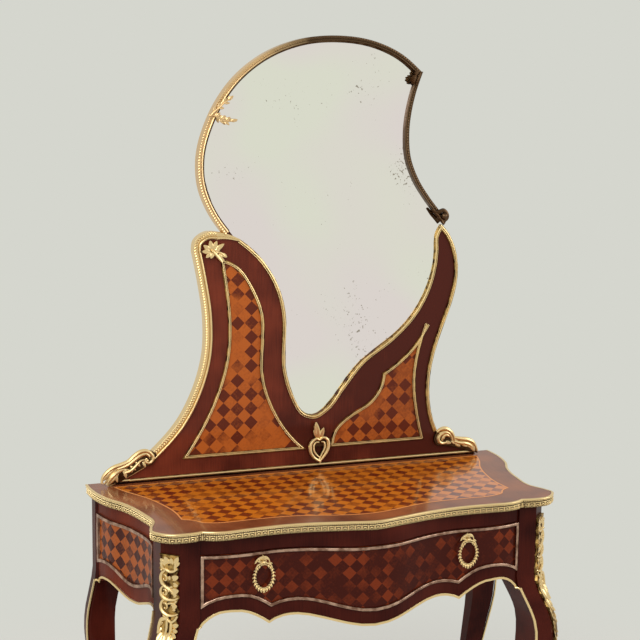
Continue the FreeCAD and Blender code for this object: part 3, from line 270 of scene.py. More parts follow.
# Castings, in millimetres. A strand has its points, and its thin and thick radii. A leaf has
# its root, its tip and its width. An eye has its point and its radius.
BOW_RIBBONS = [
    ([(-19, 1), (-16, 6), (-12.5, 8.5), (-9.5, 6), (-11, 3), (-14, 3.5), (-14, 7), (-9, 10.5),
      (-3, 12.2), (3, 11.6), (8, 8.6), (11, 3.5), (12, -1), (16.5, -3)], 1.1, 1.9),
    ([(-13, 2.5), (-8, 1.5), (-3.5, 1)], 0.9, 1.5)]
BOW_FOLDS = [(1, 11, 9.5, 5.5, 6), (-2, 11, -9, 8.5, 5), (11, -1, 18, -4.5, 4),
             (-14, 4, -20.5, -1, 3.6)]
MOUNT_STRANDS = [
    ([(16, 680), (9, 681), (-3, 677), (-12, 679), (-20, 685)], 1.8, 3.4),
    ([(8, 678), (15, 672), (17.5, 662), (15, 652), (8, 645), (-1, 643), (-9, 647)], 2.0, 4.2),
    ([(12, 669), (7, 668), (4.5, 662), (7, 657), (11, 658)], 1.4, 2.5),
    ([(15, 694), (15.5, 687), (12, 681)], 2.4, 3.7),
    ([(-17, 696), (-15, 688), (-14, 681)], 2.1, 3.4),
    ([(14, 648), (5, 643), (-5, 638), (-12, 632)], 2.1, 4.0),
    ([(12, 646), (17.5, 638), (17, 628), (9, 620), (-2, 618), (-12, 619.5), (-21, 624)],
     1.3, 4.1),
    ([(13, 638), (7, 637), (4, 631), (8, 627), (12, 629)], 1.4, 2.5),
    ([(8, 619), (15, 613), (18, 604), (14, 593), (4, 586.5), (-7, 586), (-21, 591)], 1.3, 4.1),
    ([(13, 609), (8, 610), (4, 605), (5, 599), (9, 598)], 1.4, 2.5),
    ([(5, 608), (-3, 611), (-12, 612), (-17, 616)], 1.5, 2.6),
    ([(12, 584), (4, 580), (-7, 573), (-14, 577), (-20, 587)], 2.0, 3.2),
    ([(3, 586), (3, 580), (8, 578), (14, 576), (19, 565), (20, 548)], 2.6, 4.2),
    ([(4, 579), (2.2, 568), (2.6, 556), (5, 545)], 2.0, 3.1),
    ([(-7, 573), (-7.6, 562), (-6.4, 552), (-3, 543)], 2.4, 3.4)]
MOUNT_LEAVES = [
    (4, 688, 18, 702, 17), (3, 690, 7, 708, 16), (-4, 690, -8, 706, 14.5),
    (-10, 690, -23, 710, 13), (-9, 688, -26, 699, 12), (12, 690, 20, 692, 7.5),
    (-4, 660, -23, 670, 14.5), (-6, 650, -22, 651, 12), (3, 657, -4, 668, 9.5),
    (-1, 633, -24, 641, 17), (2, 638, 7, 628, 7.5), (-6, 625, -19, 631, 10.5),
    (-3, 603, -20, 608, 14.5), (-5, 598, -16, 599, 9.5), (-8, 613, -19, 618, 7.5),
    (14, 572, 22, 561, 10.5), (15, 559, 22, 547, 10.5), (12, 550, 20, 534, 13),
    (-8, 562, -25, 571, 13), (-8, 554, -24, 558, 13), (-6, 549, -22, 545, 14.5),
    (0, 551, 1, 519, 22.5), (6, 548, 13, 522, 17), (-5, 548, -14, 524, 17)]
MOUNT_EYES = [(12, 698, 2.2), (10.5, 660, 2.2), (11.5, 631, 2.2), (8.5, 600, 2.2),
              (15.5, 679, 2.6)]
# One husk of the mounts' long leaf, and the height and the scale of each husk
HUSK_LEAVES = [
    (3, 6, 18, -9, 12), (-3, 6, -18, -9, 12), (2, 0, 12, -23, 10), (-2, 0, -12, -23, 10),
    (0, 6, 0, -29, 14)]
MOUNT_HUSKS = [(527, 1.0), (500, 0.86), (474, 0.76), (450, 0.66), (428, 0.58), (408, 0.5),
               (390, 0.44), (374, 0.38), (360, 0.32)]
SCROLL_LEFT = (
    [([(-475, 8), (-473, 21), (-463, 33), (-449, 42), (-431, 47), (-415, 53), (-401, 65),
       (-388, 73), (-375, 74), (-363, 67), (-358, 58), (-362, 49), (-370, 46), (-376, 51),
       (-373, 57)], 2.9, 5.2),
     ([(-440, 38), (-418, 45), (-401, 56), (-386, 65), (-374, 67), (-366, 60)], 3.0, 5.6),
     ([(-424, 27), (-408, 33), (-397, 43), (-385, 53), (-378, 54)], 2.0, 3.8),
     ([(-462, 8), (-454, 20), (-440, 31), (-426, 36)], 2.9, 6.1)],
    [(-436, 44, -473, 14, 14), (-436, 34, -464, 2, 15), (-433, 42, -472, 5, 12.5),
     (-425, 38, -420, 15, 10.5), (-425, 35, -405, 29, 9), (-410, 42, -398, 32, 8),
     (-398, 50, -388, 40, 8), (-381, 50, -376, 37, 8), (-446, 30, -440, 8, 10.5)],
    [(-371, 52, 3.0)])
SCROLL_RIGHT = (
    [([(346, 64), (355, 70), (368, 71), (381, 64), (391, 50), (394, 38)], 3.1, 5.8),
     ([(352, 60), (366, 62), (376, 60), (384, 51), (388, 39)], 2.5, 4.4),
     ([(368, 60), (357, 58), (350, 50), (351, 42), (359, 36), (372, 37)], 2.7, 4.9),
     ([(380, 50), (373, 55), (367, 54), (361, 48), (361, 42)], 2.4, 4.1),
     ([(390, 48), (410, 43), (431, 39), (443, 33), (451, 22), (456, 10)], 3.1, 5.6),
     ([(392, 38), (408, 33), (423, 31), (436, 26), (445, 16)], 2.7, 5.1)],
    [(396, 46, 404, 31, 9), (410, 43, 419, 29, 9), (426, 40, 435, 26, 9),
     (396, 36, 409, 24, 12.5), (413, 34, 428, 22, 12.5), (428, 31, 441, 18, 12.5),
     (438, 28, 449, 9, 14), (386, 42, 396, 31, 11), (370, 38, 384, 34, 10)],
    [(364, 48, 2.8)])
HEART = (
    [([(42, 67), (34, 71), (27, 68), (20, 60), (18, 49), (21, 37), (30, 25), (43, 17)],
      2.6, 4.4),
     ([(42, 67), (47, 72), (55, 72), (62, 66), (64, 53), (61, 41), (54, 30), (43, 17)],
      2.6, 4.4),
     ([(40, 62), (34, 63), (28, 57), (27, 49), (29, 40), (35, 32), (43, 25)], 1.6, 2.6),
     ([(46, 63), (52, 62), (55, 54), (53, 44), (48, 35), (43, 25)], 1.6, 2.6)],
    [(38, 71, 31, 112, 18), (43, 71, 51, 97, 14), (36, 74, 26, 92, 10), (44, 26, 43, 12, 10)],
    [(42, 69, 3.2)])
SHOULDER_LEAF = (
    [([(-198, 492), (-206, 502), (-214, 511), (-222, 520)], 2.2, 3.6),
     ([(-214, 510), (-206, 514), (-197, 510), (-188, 504)], 1.4, 2.5)],
    [(-221, 518, -227, 541, 15), (-219, 518, -211, 540, 13.5), (-217, 517, -194, 533, 13.5),
     (-216, 515, -202, 524, 12), (-223, 518, -242, 531, 13.5), (-224, 516, -245, 517, 13.5),
     (-222, 514, -236, 503, 12), (-218, 514, -225, 501, 12), (-206, 510, -198, 500, 10.5),
     (-199, 511, -187, 503, 10.5), (-204, 501, -193, 494, 10.5)],
    [(-220, 517, 3.0)])
SPRIG = (
    [([(-227, 815), (-222, 821), (-208, 832), (-196, 843), (-186, 850), (-177, 854)], 1.2, 2.2),
     ([(-227, 818), (-219, 815), (-203, 808), (-191, 803), (-179, 804), (-167, 804)],
      1.2, 2.2)],
    [(-220, 822, -216, 836, 8.5), (-210, 830, -205, 845, 8.5), (-199, 840, -192, 855, 8.5),
     (-187, 849, -175, 859, 8.5), (-208, 832, -196, 832, 7), (-196, 843, -183, 843, 7),
     (-214, 813, -205, 822, 8.5), (-203, 808, -193, 816, 8.5), (-192, 804, -182, 813, 8.5),
     (-180, 804, -165, 807, 8.5), (-207, 810, -200, 799, 7), (-193, 803, -184, 795, 7)],
    [(-229, 816, 3.0)])
CORNER_LEAF = (
    [([(277, 916), (274, 908), (270, 898), (266, 889)], 1.8, 3.2)],
    [(274, 914, 264, 922, 10), (273, 912, 261, 917, 10), (272, 909, 262, 913, 8),
     (270, 902, 256, 911, 11), (269, 900, 251, 906, 13), (268, 898, 250, 900, 13),
     (267, 896, 254, 893, 10)],
    [(273, 910, 3.0), (268, 897, 2.8)])
FINIAL = (
    [([(316, 603), (322, 597), (329, 594), (337, 597), (345, 599), (353, 593), (356, 584),
       (351, 576), (343, 576), (340, 582)], 2.6, 5.4),
     ([(318, 602), (327, 591), (337, 580), (347, 567)], 3.0, 4.6)],
    [(350, 577, 346, 565, 9)],
    [(347, 586, 8.6)])
ORNAMENTS = [
    ("scroll_left", "scroll_mount_left", *SCROLL_LEFT, "gilt_bronze"),
    ("scroll_right", "scroll_mount_right", *SCROLL_RIGHT, "gilt_bronze"),
    ("heart", "heart_pendant", *HEART, "gilt_bronze"),
    ("shoulder_leaf", "shoulder_leaf_mount", *SHOULDER_LEAF, "gilt_bronze"),
    ("frame_sprig", "mirror_leaf_mounts", *SPRIG, "frame_bronze"),
    ("frame_corner_leaf", "mirror_leaf_mounts", *CORNER_LEAF, "dark_bronze"),
    ("finial", "scroll_finial", *FINIAL, "dark_bronze")]


def linear(code):
    """A colour written as in a paint chart, turned to the linear values that light adds in."""
    shares = [int(code[i:i + 2], 16) / 255 for i in (0, 2, 4)]
    return tuple(s / 12.92 if s <= 0.04045 else ((s + 0.055) / 1.055) ** 2.4 for s in shares)


def tint(name, code, description):
    """A colour that a user may change."""
    return FloatVectorProperty(name=name, description=description, subtype="COLOR", size=3,
                               min=0, max=1, default=linear(code))


class WoodColours(bpy.types.PropertyGroup):
    """Colours of the veneers and of the plain wood behind them."""
    band_dark: tint("Crossband dark", "46190F", "Dark figure of the stand's crossbanding")
    band_light: tint("Crossband light", "7A3420", "Light figure of the stand's crossbanding")
    case_dark: tint("Carcass dark", "220504", "Dark figure of the legs' and rails' veneer")
    case_light: tint("Carcass light", "4C1A10", "Light figure of the legs' and rails' veneer")
    tile_dark: tint("Stand tile dark", "5A2413", "Dark squares of the stand's parquetry")
    tile_light: tint("Stand tile light", "A85620", "Light squares of the stand's parquetry")
    top_dark: tint("Top tile dark", "621C02", "Dark squares of the top's parquetry")
    top_light: tint("Top tile light", "C46C10", "Light squares of the top's parquetry")
    side_dark: tint("Side tile dark", "3E170E", "Dark squares of the sides' parquetry")
    side_light: tint("Side tile light", "9A4E1E", "Light squares of the sides' parquetry")
    drawer_dark: tint("Drawer tile dark", "3A120A", "Dark squares of the drawer's parquetry")
    drawer_light: tint("Drawer tile light", "6C2A12", "Light squares of the drawer's parquetry")
    # Painted shadow: the colour of the dark strip under the stand's base fillet
    foot_shadow: tint("Painted foot shadow", "120604", "The dark line at the stand's foot")
    border_dark: tint("Border dark", "5A2814", "Dark figure of the top's border")
    border_light: tint("Border light", "965630", "Light figure of the top's border")
    box_line: tint("Stringing", "D98E50", "Boxwood line let into the top")
    oak_dark: tint("Oak dark", "7A5A3A", "Pores and dark grain of the oak")
    oak_light: tint("Oak light", "A8845A", "Light grain of the oak")


class MetalColours(bpy.types.PropertyGroup):
    """Colours of the gilt bronze and of the glass."""
    gilt: tint("Gilding", "EEDCAC", "Burnished gilding")
    gilt_worn: tint("Worn gilding", "C2A05E", "Gilding where it is worn or matt")
    gilt_frame: tint("Frame gilding", "DFC08E", "Paler gilding on the mirror's frame")
    rubbed: tint("Rubbed gilding", "BFA08A", "Pinkish bronze where the gilding is rubbed")
    rubbed_dark: tint("Rubbed bronze", "7A5C4C", "The darker parts of the rubbed bronze")
    bronze: tint("Dark bronze", "5A4632", "Bronze that has lost its gilding")
    # Also the painted shade of the darker fillets and of the corner mounts' ground
    varnish_and_shade: tint("Bronze in hollows", "3A2412", "Old varnish and painted shade in the hollows")
    silvering: tint("Silvering", "F2F8EE", "Silvered back of the glass")
    silvering_pink: tint("Pink silvering", "F4F0F2", "The pinker parts of the silvering")
    foxing: tint("Foxing", "A09A8E", "Grey specks where the silvering has gone")


class StageSettings(bpy.types.PropertyGroup):
    """Floor, backdrop and light."""
    backdrop: tint("Backdrop", "D5D6CE", "Colour behind the table")
    room: tint("Room", "E4E0D8", "Colour of the room that metal and glass reflect")
    floor: tint("Floor", "DAD8D1", "Colour of the floor")
    key_power: FloatProperty(name="Key light", description="Power of the large soft lamp",
                             default=60, min=0, unit="POWER")
    fill_power: FloatProperty(name="Fill light", description="Power of the weaker lamp",
                              default=40, min=0, unit="POWER")


class PatternSizes(bpy.types.PropertyGroup):
    """Real sizes of the patterns and of the repeated castings."""
    tile: FloatProperty(name="Parquetry tile", description="Side of one square of veneer",
                        default=0.0241, min=0.005, unit="LENGTH")
    rope_pitch: FloatProperty(name="Rope pitch", description="Step from strand to strand",
                              default=0.0062, min=0.003, unit="LENGTH")
    leaf_pitch: FloatProperty(name="Leaf pitch", description="Step between the band's leaves",
                              default=0.014, min=0.008, unit="LENGTH")
    bead_pitch: FloatProperty(name="Bead pitch", description="Step between the band's beads",
                              default=0.004, min=0.002, unit="LENGTH")


# Lines


def smooth_line(points, spacing):
    """Places an even step apart on a smooth curve through points."""
    chords = [after - before for before, after in zip(points, points[1:])]
    ways = []
    for before, after in zip(chords, chords[1:]):
        near, far = before.length, after.length
        ways.append((before * (far / near) + after * (near / far)) / (near + far))
    if not ways:
        return even_steps(points, spacing)
    ways.insert(0, (chords[0].normalized() * 3 - ways[0]) / 2)
    ways.append((chords[-1].normalized() * 3 - ways[-1]) / 2)
    fine = points[:1]
    for i, chord in enumerate(chords):
        reach = chord.length / 3
        fine += geometry.interpolate_bezier(
            points[i], points[i] + ways[i] * reach, points[i + 1] - ways[i + 1] * reach,
            points[i + 1], 16)[1:]
    return even_steps(fine, spacing)


def even_steps(line, spacing):
    """Places an even step apart along a line of short straight runs."""
    lengths = [(b - a).length for a, b in zip(line, line[1:])]
    count = max(1, round(sum(lengths) / spacing))
    step = sum(lengths) / count
    places, walked, i = [line[0].copy()], 0, 0
    for k in range(1, count):
        while walked + lengths[i] < step * k:
            walked += lengths[i]
            i += 1
        places.append(line[i].lerp(line[i + 1], (step * k - walked) / lengths[i]))
    return places + [line[-1].copy()]


def joined_lines(runs, spacing):
    """Several smooth runs that meet, as one line."""
    line = smooth_line(runs[0], spacing)
    for run in runs[1:]:
        line += smooth_line(run, spacing)[1:]
    return line


def sideways(line, axis):
    """The way square to a line at each place, longer at a corner, so that a band stays even."""
    ways = [(b - a).normalized().cross(axis) for a, b in zip(line, line[1:])]
    result = [ways[0]]
    for before, after in zip(ways, ways[1:]):
        result.append((before + after) / (1 + before.dot(after)))
    return result + [ways[-1]]


def offset(line, axis, distance):
    """The line moved sideways by a distance."""
    return [place + way * distance for place, way in zip(line, sideways(line, axis))]


def on_stand(shares, y):
    """Places in a plane of the mirror stand."""
    return [Vector((x * RISE, y, TOP_Z + z * RISE)) for x, z in shares]


def on_plan(shares, z, side=1):
    """Places on the top's plan at a height, on the right or, with a side of -1, on the left."""
    return [Vector((x * HALF_WIDTH * side, BACK_Y - y * DEPTH, z)) for x, y in shares]


def top_line(z, spacing):
    """The edge of the top from its back right corner round to its back left one."""
    front = on_plan(TOP_FRONT, z)
    return joined_lines([on_plan(TOP_SIDE, z), front + on_plan(TOP_FRONT, z, -1)[-2::-1],
                         on_plan(TOP_SIDE, z, -1)[::-1]], spacing)


# Shapes


def merge(bm, part):
    """Add a shape that was made apart, which stays quick where there are hundreds."""
    mesh = bpy.data.meshes.new("part")
    part.to_mesh(mesh)
    part.free()
    bm.from_mesh(mesh)
    bpy.data.meshes.remove(mesh)


def lobe(bm, root, tip, width, thick, out, sides=8, rings=6, point=0.0, vein=0.0,
         curl=0.0):
    """A rounded lump of cast metal from root to tip.

    It is drawn to a point, and has a vein down its middle, by the given shares, and its tip
    curls out by a distance."""
    way = tip - root
    across = way.cross(out).normalized() * width
    depth = across.cross(way).normalized() * thick
    lump = bmesh.new()
    bmesh.ops.create_uvsphere(lump, u_segments=sides, v_segments=rings, radius=0.5)
    turn = Matrix((across, depth, way)).transposed()
    for vert in lump.verts:
        share = vert.co.z + 0.5
        vert.co.xy *= 1 - point * share * share
        if vert.co.y > 0:
            vert.co.y *= 1 - vein * max(0, 1 - abs(vert.co.x) * 4)
        vert.co = turn @ vert.co + (root + tip) / 2 + out * (curl * share * share)
    merge(bm, lump)


def bead(bm, place, radius, sides=8, rings=6):
    """A round bead."""
    ball = bmesh.new()
    bmesh.ops.create_uvsphere(ball, u_segments=sides, v_segments=rings, radius=radius,
                              matrix=Matrix.Translation(place))
    merge(bm, ball)


def rod(bm, line, radii, turns=2):
    """A cast rod along a line, with a radius at each place or one for all."""
    curve = bpy.data.curves.new("rod", "CURVE")
    curve.dimensions = "3D"
    curve.bevel_depth = 1
    curve.bevel_resolution = turns
    curve.use_fill_caps = True
    spline = curve.splines.new("POLY")
    spline.points.add(len(line) - 1)
    for i, place in enumerate(line):
        spline.points[i].co = (*place, 1)
        spline.points[i].radius = radii[i] if isinstance(radii, list) else radii
    holder = bpy.data.objects.new("rod", curve)
    mesh = bpy.data.meshes.new_from_object(holder)
    bm.from_mesh(mesh)
    bpy.data.objects.remove(holder)
    bpy.data.curves.remove(curve)
    bpy.data.meshes.remove(mesh)


def swell(count, thin, thick, peak=0.5):
    """Radii along a rod that is thickest at one share of its length."""
    radii = []
    for i in range(count):
        share = i / (count - 1)
        run = share / peak if share < peak else (1 - share) / (1 - peak)
        radii.append(thin + (thick - thin) * sin(run * pi / 2))
    return radii


def trimmed(runs, distance, spacing):
    """Each run moved in from the outline by a distance and cut where it meets the others."""
    lines = [smooth_line(run, spacing) for run in runs]
    for i, line in enumerate(lines):
        others = [place for k, other in enumerate(lines) if k != i for place in other]
        yield [place for place in offset(line, FORWARD, distance)
               if all((place - other).length > distance * 0.97 for other in others)]


def casting(bm, place, strands, leaves, eyes=()):
    """A chased casting of scrolled strands, veined leaves and round eyes.

    place turns a side, a height and a lift into a point. A strand has its points and its
    thin and thick radii, a leaf its root, tip and width, and an eye its point and radius,
    all in millimetres."""
    for points, thin, thick in strands:
        line = smooth_line([place(x * MM, z * MM, STRAND_LIFT * MM) for x, z in points],
                           2.5 * MM)
        rod(bm, line, swell(len(line), thin * MM, thick * MM, 0.4))
    for x, z, far_x, far_z, width in leaves:
        root = place(x * MM, z * MM, ROOT_LIFT * MM)
        tip = place(far_x * MM, far_z * MM, TIP_LIFT * MM)
        out = place(x * MM, z * MM, 2 * MM) - place(x * MM, z * MM, MM)
        lobe(bm, root, tip, width * MM, width * 0.5 * MM, out.normalized(), 12, 8, 0.5, 0.5,
             width * 0.16 * MM)
    for x, z, radius in eyes:
        bead(bm, place(x * MM, z * MM, EYE_LIFT * MM), radius * MM)


def vertices(made):
    """The vertices among what an operator made."""
    return [part for part in made if isinstance(part, bmesh.types.BMVert)]


def plate(bm, outline, rise):
    """A flat plate on an outline, as thick as the rise."""
    face = bm.faces.new([bm.verts.new(place) for place in outline])
    made = bmesh.ops.extrude_face_region(bm, geom=[face])["geom"]
    bmesh.ops.translate(bm, vec=rise, verts=vertices(made))


def bar(bm, rings):
    """A solid bar drawn out from ring to ring, with flat ends."""
    mark = bm.verts.layers.int.get("corner") or bm.verts.layers.int.new("corner")
    corners = [bm.verts.new(place) for place in rings[0]]
    for i, vert in enumerate(corners):
        vert[mark] = i
    edges = [bm.edges.new(pair) for pair in zip(corners, corners[1:] + corners[:1])]
    bmesh.ops.edgeloop_fill(bm, edges=edges)
    for ring in rings[1:]:
        made = bmesh.ops.extrude_edge_only(bm, edges=edges)["geom"]
        edges = [p for p in made if isinstance(p, bmesh.types.BMEdge) and p.is_boundary]
        for vert in vertices(made):
            vert.co = ring[vert[mark]]
    bmesh.ops.edgeloop_fill(bm, edges=edges)


def moulded(bm, line, axis, profile, widths=None):
    """A moulding along a line, with its profile in millimetres in from the line and along axis.

    widths makes it narrower by a share at each place."""
    widths = widths or [1] * len(line)
    bar(bm, [[place + way * (side * MM * width) + axis * (height * MM)
              for side, height in profile]
             for place, way, width in zip(line, sideways(line, axis), widths)])


def cut_back(profile, deep):
    """A profile that goes no further back than a depth in metres."""
    return [(side, max(height, -deep / MM)) for side, height in profile]


def mirror_x(bm):
    """Add the mirror image of everything made so far."""
    made = bmesh.ops.duplicate(bm, geom=bm.verts[:] + bm.edges[:] + bm.faces[:])["geom"]
    for vert in vertices(made):
        vert.co.x = -vert.co.x


# Finished pieces


def finish_piece(name, bm, material, body, nodes=(), crease=35):
    """Close the mesh work, name it, give it its finish and let it ride on its body."""
    bmesh.ops.recalc_face_normals(bm, faces=bm.faces)
    for face in bm.faces:
        face.smooth = True
    for edge in bm.edges:
        edge.smooth = edge.calc_face_angle(0) < radians(crease)
    mesh = bpy.data.meshes.new(name)
    bm.to_mesh(mesh)
    bm.free()
    mesh.materials.append(material)
    made = bpy.data.objects.new(name, mesh)
    bpy.context.scene.collection.objects.link(made)
    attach(made, body)
    if nodes:
        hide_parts(*nodes)
    return made


def from_node(node, material, easing, segments=2, body="table", shrink=0.0):
    """A construction node's shape with its edges eased, as a finished piece in its place.

    Its outline may be a little smaller, to lie under a thin skin."""
    bm = bmesh.new()
    bm.from_mesh(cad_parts[node].data)
    bmesh.ops.remove_doubles(bm, verts=bm.verts, dist=0.00002)
    bmesh.ops.dissolve_limit(bm, angle_limit=radians(0.5), verts=bm.verts, edges=bm.edges)
    if shrink:
        bm.normal_update()
        for vert in bm.verts:
            vert.co -= vert.normal * Vector((1, 0, 1)) * shrink
    made = finish_piece("eased_" + node, bm, material, body, [node], 30)
    ease = made.modifiers.new("eased edges", "BEVEL")
    ease.width = easing
    ease.segments = segments
    ease.limit_method = "ANGLE"
    ease.angle_limit = radians(30)
    ease.harden_normals = True
    return made


def dress(node, material):
    """Give a construction node that stays in sight its finish."""
    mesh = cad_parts[node].data
    mesh.materials.clear()
    mesh.materials.append(material)


# Finishes


def add(material, kind, sockets, **settings):
    """Add a node, set its properties, and fill its sockets with values or with links."""
    made = material.node_tree.nodes.new("ShaderNode" + kind)
    for name, value in settings.items():
        setattr(made, name, value)
    for name, value in sockets.items():
        if isinstance(value, bpy.types.NodeSocket):
            material.node_tree.links.new(value, made.inputs[name])
        else:
            made.inputs[name].default_value = value
    return made


def blank(name):
    """A new material with no nodes in it."""
    material = bpy.data.materials.new(name)
    material.use_nodes = True
    material.node_tree.nodes.clear()
    return material


def end(material, shader):
    """Give a material its surface."""
    add(material, "OutputMaterial", {"Surface": shader})
    return material


def rgba(colour):
    """A colour with the full opacity that a socket asks for."""
    return (*colour, 1)


def polished(material, colour, bump, roughness, gloss):
    """Shellac polish over wood: a thin clear gloss over a duller body."""
    return end(material, add(material, "BsdfPrincipled", {
        "Base Color": colour, "Roughness": roughness, "Normal": bump, "Coat Weight": gloss,
        "Coat Roughness": 0.09, "Coat IOR": 1.5, "IOR": 1.5,
        "Specular IOR Level": gloss * 0.3}).outputs["BSDF"])


def veneer(name, along, dark, light, gloss=0.2, shade=0.0):
    """Crossbanded veneer, French polished: fine streaks, a red glow and a deep gloss.

    The streaks are 1.4 mm wide, a little coarser than real, and 60 mm long. By the share shade,
    the colour darkens to the right: painted shade, as if the light fell off across the piece."""
    material = blank(name)
    place = add(material, "TexCoord", {}).outputs["Object"]
    scale = [700, 700, 700]
    scale[along] = 17
    grain = add(material, "Mapping", {"Vector": place, "Scale": scale}).outputs["Vector"]
    streak = add(material, "TexNoise", {"Vector": grain, "Scale": 1, "Detail": 4,
                                        "Roughness": 0.6}).outputs["Fac"]
    cloud = add(material, "TexNoise", {"Vector": place, "Scale": 9, "Detail": 2}).outputs["Fac"]
    both = add(material, "Math", {0: streak, 1: 0.35}, operation="MULTIPLY").outputs["Value"]
    both = add(material, "Math", {0: cloud, 1: 0.8, 2: both},
               operation="MULTIPLY_ADD").outputs["Value"]
    # Painted shade: the colour darkens towards the right, as if the light fell off across the
    # piece
    where = add(material, "SeparateXYZ", {"Vector": place}).outputs["X"]
    painted_shade = add(material, "MapRange", {"Value": where, "From Min": -0.2, "From Max": 0.3,
                                      "To Min": 0, "To Max": shade * 0.4}).outputs["Result"]
    both = add(material, "Math", {0: both, 1: painted_shade}, operation="SUBTRACT").outputs["Value"]
    colour = add(material, "MapRange", {"Value": both, "From Min": 0.38, "From Max": 0.78})
    colour = add(material, "Mix", {"Factor": colour.outputs["Result"], "A": rgba(dark),
                                   "B": rgba(light)}, data_type="RGBA")
    bump = add(material, "Bump", {"Height": streak, "Strength": 0.12, "Distance": 0.0003})
    rough = add(material, "MapRange", {"Value": cloud, "To Min": 0.28, "To Max": 0.42})
    return polished(material, colour.outputs["Result"], bump.outputs["Normal"],
                    rough.outputs["Result"], gloss)


def parquetry(name, across, up, tile, start, dark, light, gloss=0.2, shade=0.0,
              fading=(0.64, 0.76, 0.8)):
    """Squares of veneer set on their points, the grain turned from square to square.

    A square of the first tone has its middle at start. Some of these have faded towards the
    other tone, in patches about 0.1 m wide: fading has the patches' two limits and how far
    it goes. The figure has flecks about 5 mm long, and the field grows darker to the right
    by the given share: painted shade, as if the light fell off across the field."""
    material = blank(name)
    place = add(material, "TexCoord", {}).outputs["Object"]
    apart = add(material, "VectorMath", {0: place, 1: start}, operation="SUBTRACT")
    shares = []
    for way in ((across + up).normalized(), (up - across).normalized()):
        dot = add(material, "VectorMath", {0: apart.outputs["Vector"], 1: way / tile},
                  operation="DOT_PRODUCT")
        shares.append(add(material, "Math", {0: dot.outputs["Value"], 1: 0.5},
                          operation="ADD").outputs["Value"])
    flat = add(material, "CombineXYZ", {"X": shares[0], "Y": shares[1], "Z": 0.5})
    flat = flat.outputs["Vector"]
    check = add(material, "TexChecker", {"Vector": flat, "Scale": 1}).outputs["Fac"]
    cell = add(material, "VectorMath", {0: flat}, operation="FLOOR").outputs["Vector"]
    chance = add(material, "TexWhiteNoise", {"Vector": cell},
                 noise_dimensions="3D").outputs["Value"]
    grains = []
    for scale in ((14, 1.6, 1), (1.6, 14, 1)):
        stretched = add(material, "Mapping", {"Vector": flat, "Scale": scale})
        grains.append(add(material, "TexNoise", {
            "Vector": stretched.outputs["Vector"], "Scale": 1, "Detail": 3}).outputs["Fac"])
    streak = add(material, "Mix", {"Factor": check, "A": grains[0], "B": grains[1]},
                 data_type="FLOAT").outputs["Result"]
    fleck = add(material, "TexNoise", {"Vector": flat, "Scale": 4.5,
                                       "Detail": 3}).outputs["Fac"]
    patch = add(material, "TexNoise", {"Vector": place, "Scale": 10,
                                       "Detail": 1}).outputs["Fac"]
    faded = add(material, "Math", {0: chance, 1: 0.3, 2: patch},
                operation="MULTIPLY_ADD").outputs["Value"]
    faded = add(material, "MapRange", {"Value": faded, "From Min": fading[0],
                                       "From Max": fading[1], "To Min": 0,
                                       "To Max": fading[2]}).outputs["Result"]
    share = add(material, "Math", {0: check, 1: faded}, operation="MAXIMUM").outputs["Value"]
    for value, amount, level in ((streak, 0.4, -0.2), (fleck, 0.9, -0.45),
                                 (chance, 0.3, -0.15)):
        tone = add(material, "Math", {0: value, 1: amount, 2: level},
                   operation="MULTIPLY_ADD").outputs["Value"]
        share = add(material, "Math", {0: share, 1: tone}, operation="ADD").outputs["Value"]
    # Painted shade: the colour darkens towards the right, as if the light fell off across the
    # field
    where = add(material, "SeparateXYZ", {"Vector": place}).outputs["X"]
    painted_shade = add(material, "MapRange", {"Value": where, "From Min": -0.15, "From Max": 0.25,
                                      "To Min": 0, "To Max": shade}).outputs["Result"]
    share = add(material, "Math", {0: share, 1: painted_shade}, operation="SUBTRACT",
                use_clamp=True).outputs["Value"]
    colour = add(material, "Mix", {"Factor": share, "A": rgba(dark), "B": rgba(light)},
                 data_type="RGBA").outputs["Result"]
    bump = add(material, "Bump", {"Height": streak, "Strength": 0.1, "Distance": 0.0003})
    rough = add(material, "MapRange", {"Value": streak, "To Min": 0.26, "To Max": 0.4})
    return polished(material, colour, bump.outputs["Normal"], rough.outputs["Result"], gloss)


def plain_wood(name, dark, light, along):
    """Oak, planed and never polished: open pores along the grain and no gloss.

    The pores are 3 mm wide, coarser than real so that they show, and 60 mm long."""
    material = blank(name)
    place = add(material, "TexCoord", {}).outputs["Object"]
    grain = add(material, "Mapping", {
        "Vector": place, "Scale": [16 if axis == along else 350 for axis in "xyz"]})
    streak = add(material, "TexNoise", {"Vector": grain.outputs["Vector"], "Scale": 1,
                                        "Detail": 5}).outputs["Fac"]
    share = add(material, "MapRange", {"Value": streak, "From Min": 0.35, "From Max": 0.65})
    colour = add(material, "Mix", {"Factor": share.outputs["Result"], "A": rgba(dark),
                                   "B": rgba(light)}, data_type="RGBA")
    bump = add(material, "Bump", {"Height": streak, "Strength": 0.25, "Distance": 0.0005})
    return end(material, add(material, "BsdfPrincipled", {
        "Base Color": colour.outputs["Result"], "Roughness": 0.72,
        "Normal": bump.outputs["Normal"]}).outputs["BSDF"])


def chased(material, place, colour, patch, rough_high, rough_low):
    """Chased metal, with tool marks about 1 mm apart, smoother where the patch is bright."""
    chasing = add(material, "TexNoise", {"Vector": place, "Scale": 900, "Detail": 2})
    bump = add(material, "Bump", {"Height": chasing.outputs["Fac"], "Strength": 0.2,
                                  "Distance": 0.0004})
    rough = add(material, "MapRange", {"Value": patch, "To Min": rough_high,
                                       "To Max": rough_low})
    return end(material, add(material, "BsdfPrincipled", {
        "Base Color": colour.outputs["Result"], "Metallic": 1,
        "Roughness": rough.outputs["Result"],
        "Normal": bump.outputs["Normal"]}).outputs["BSDF"])


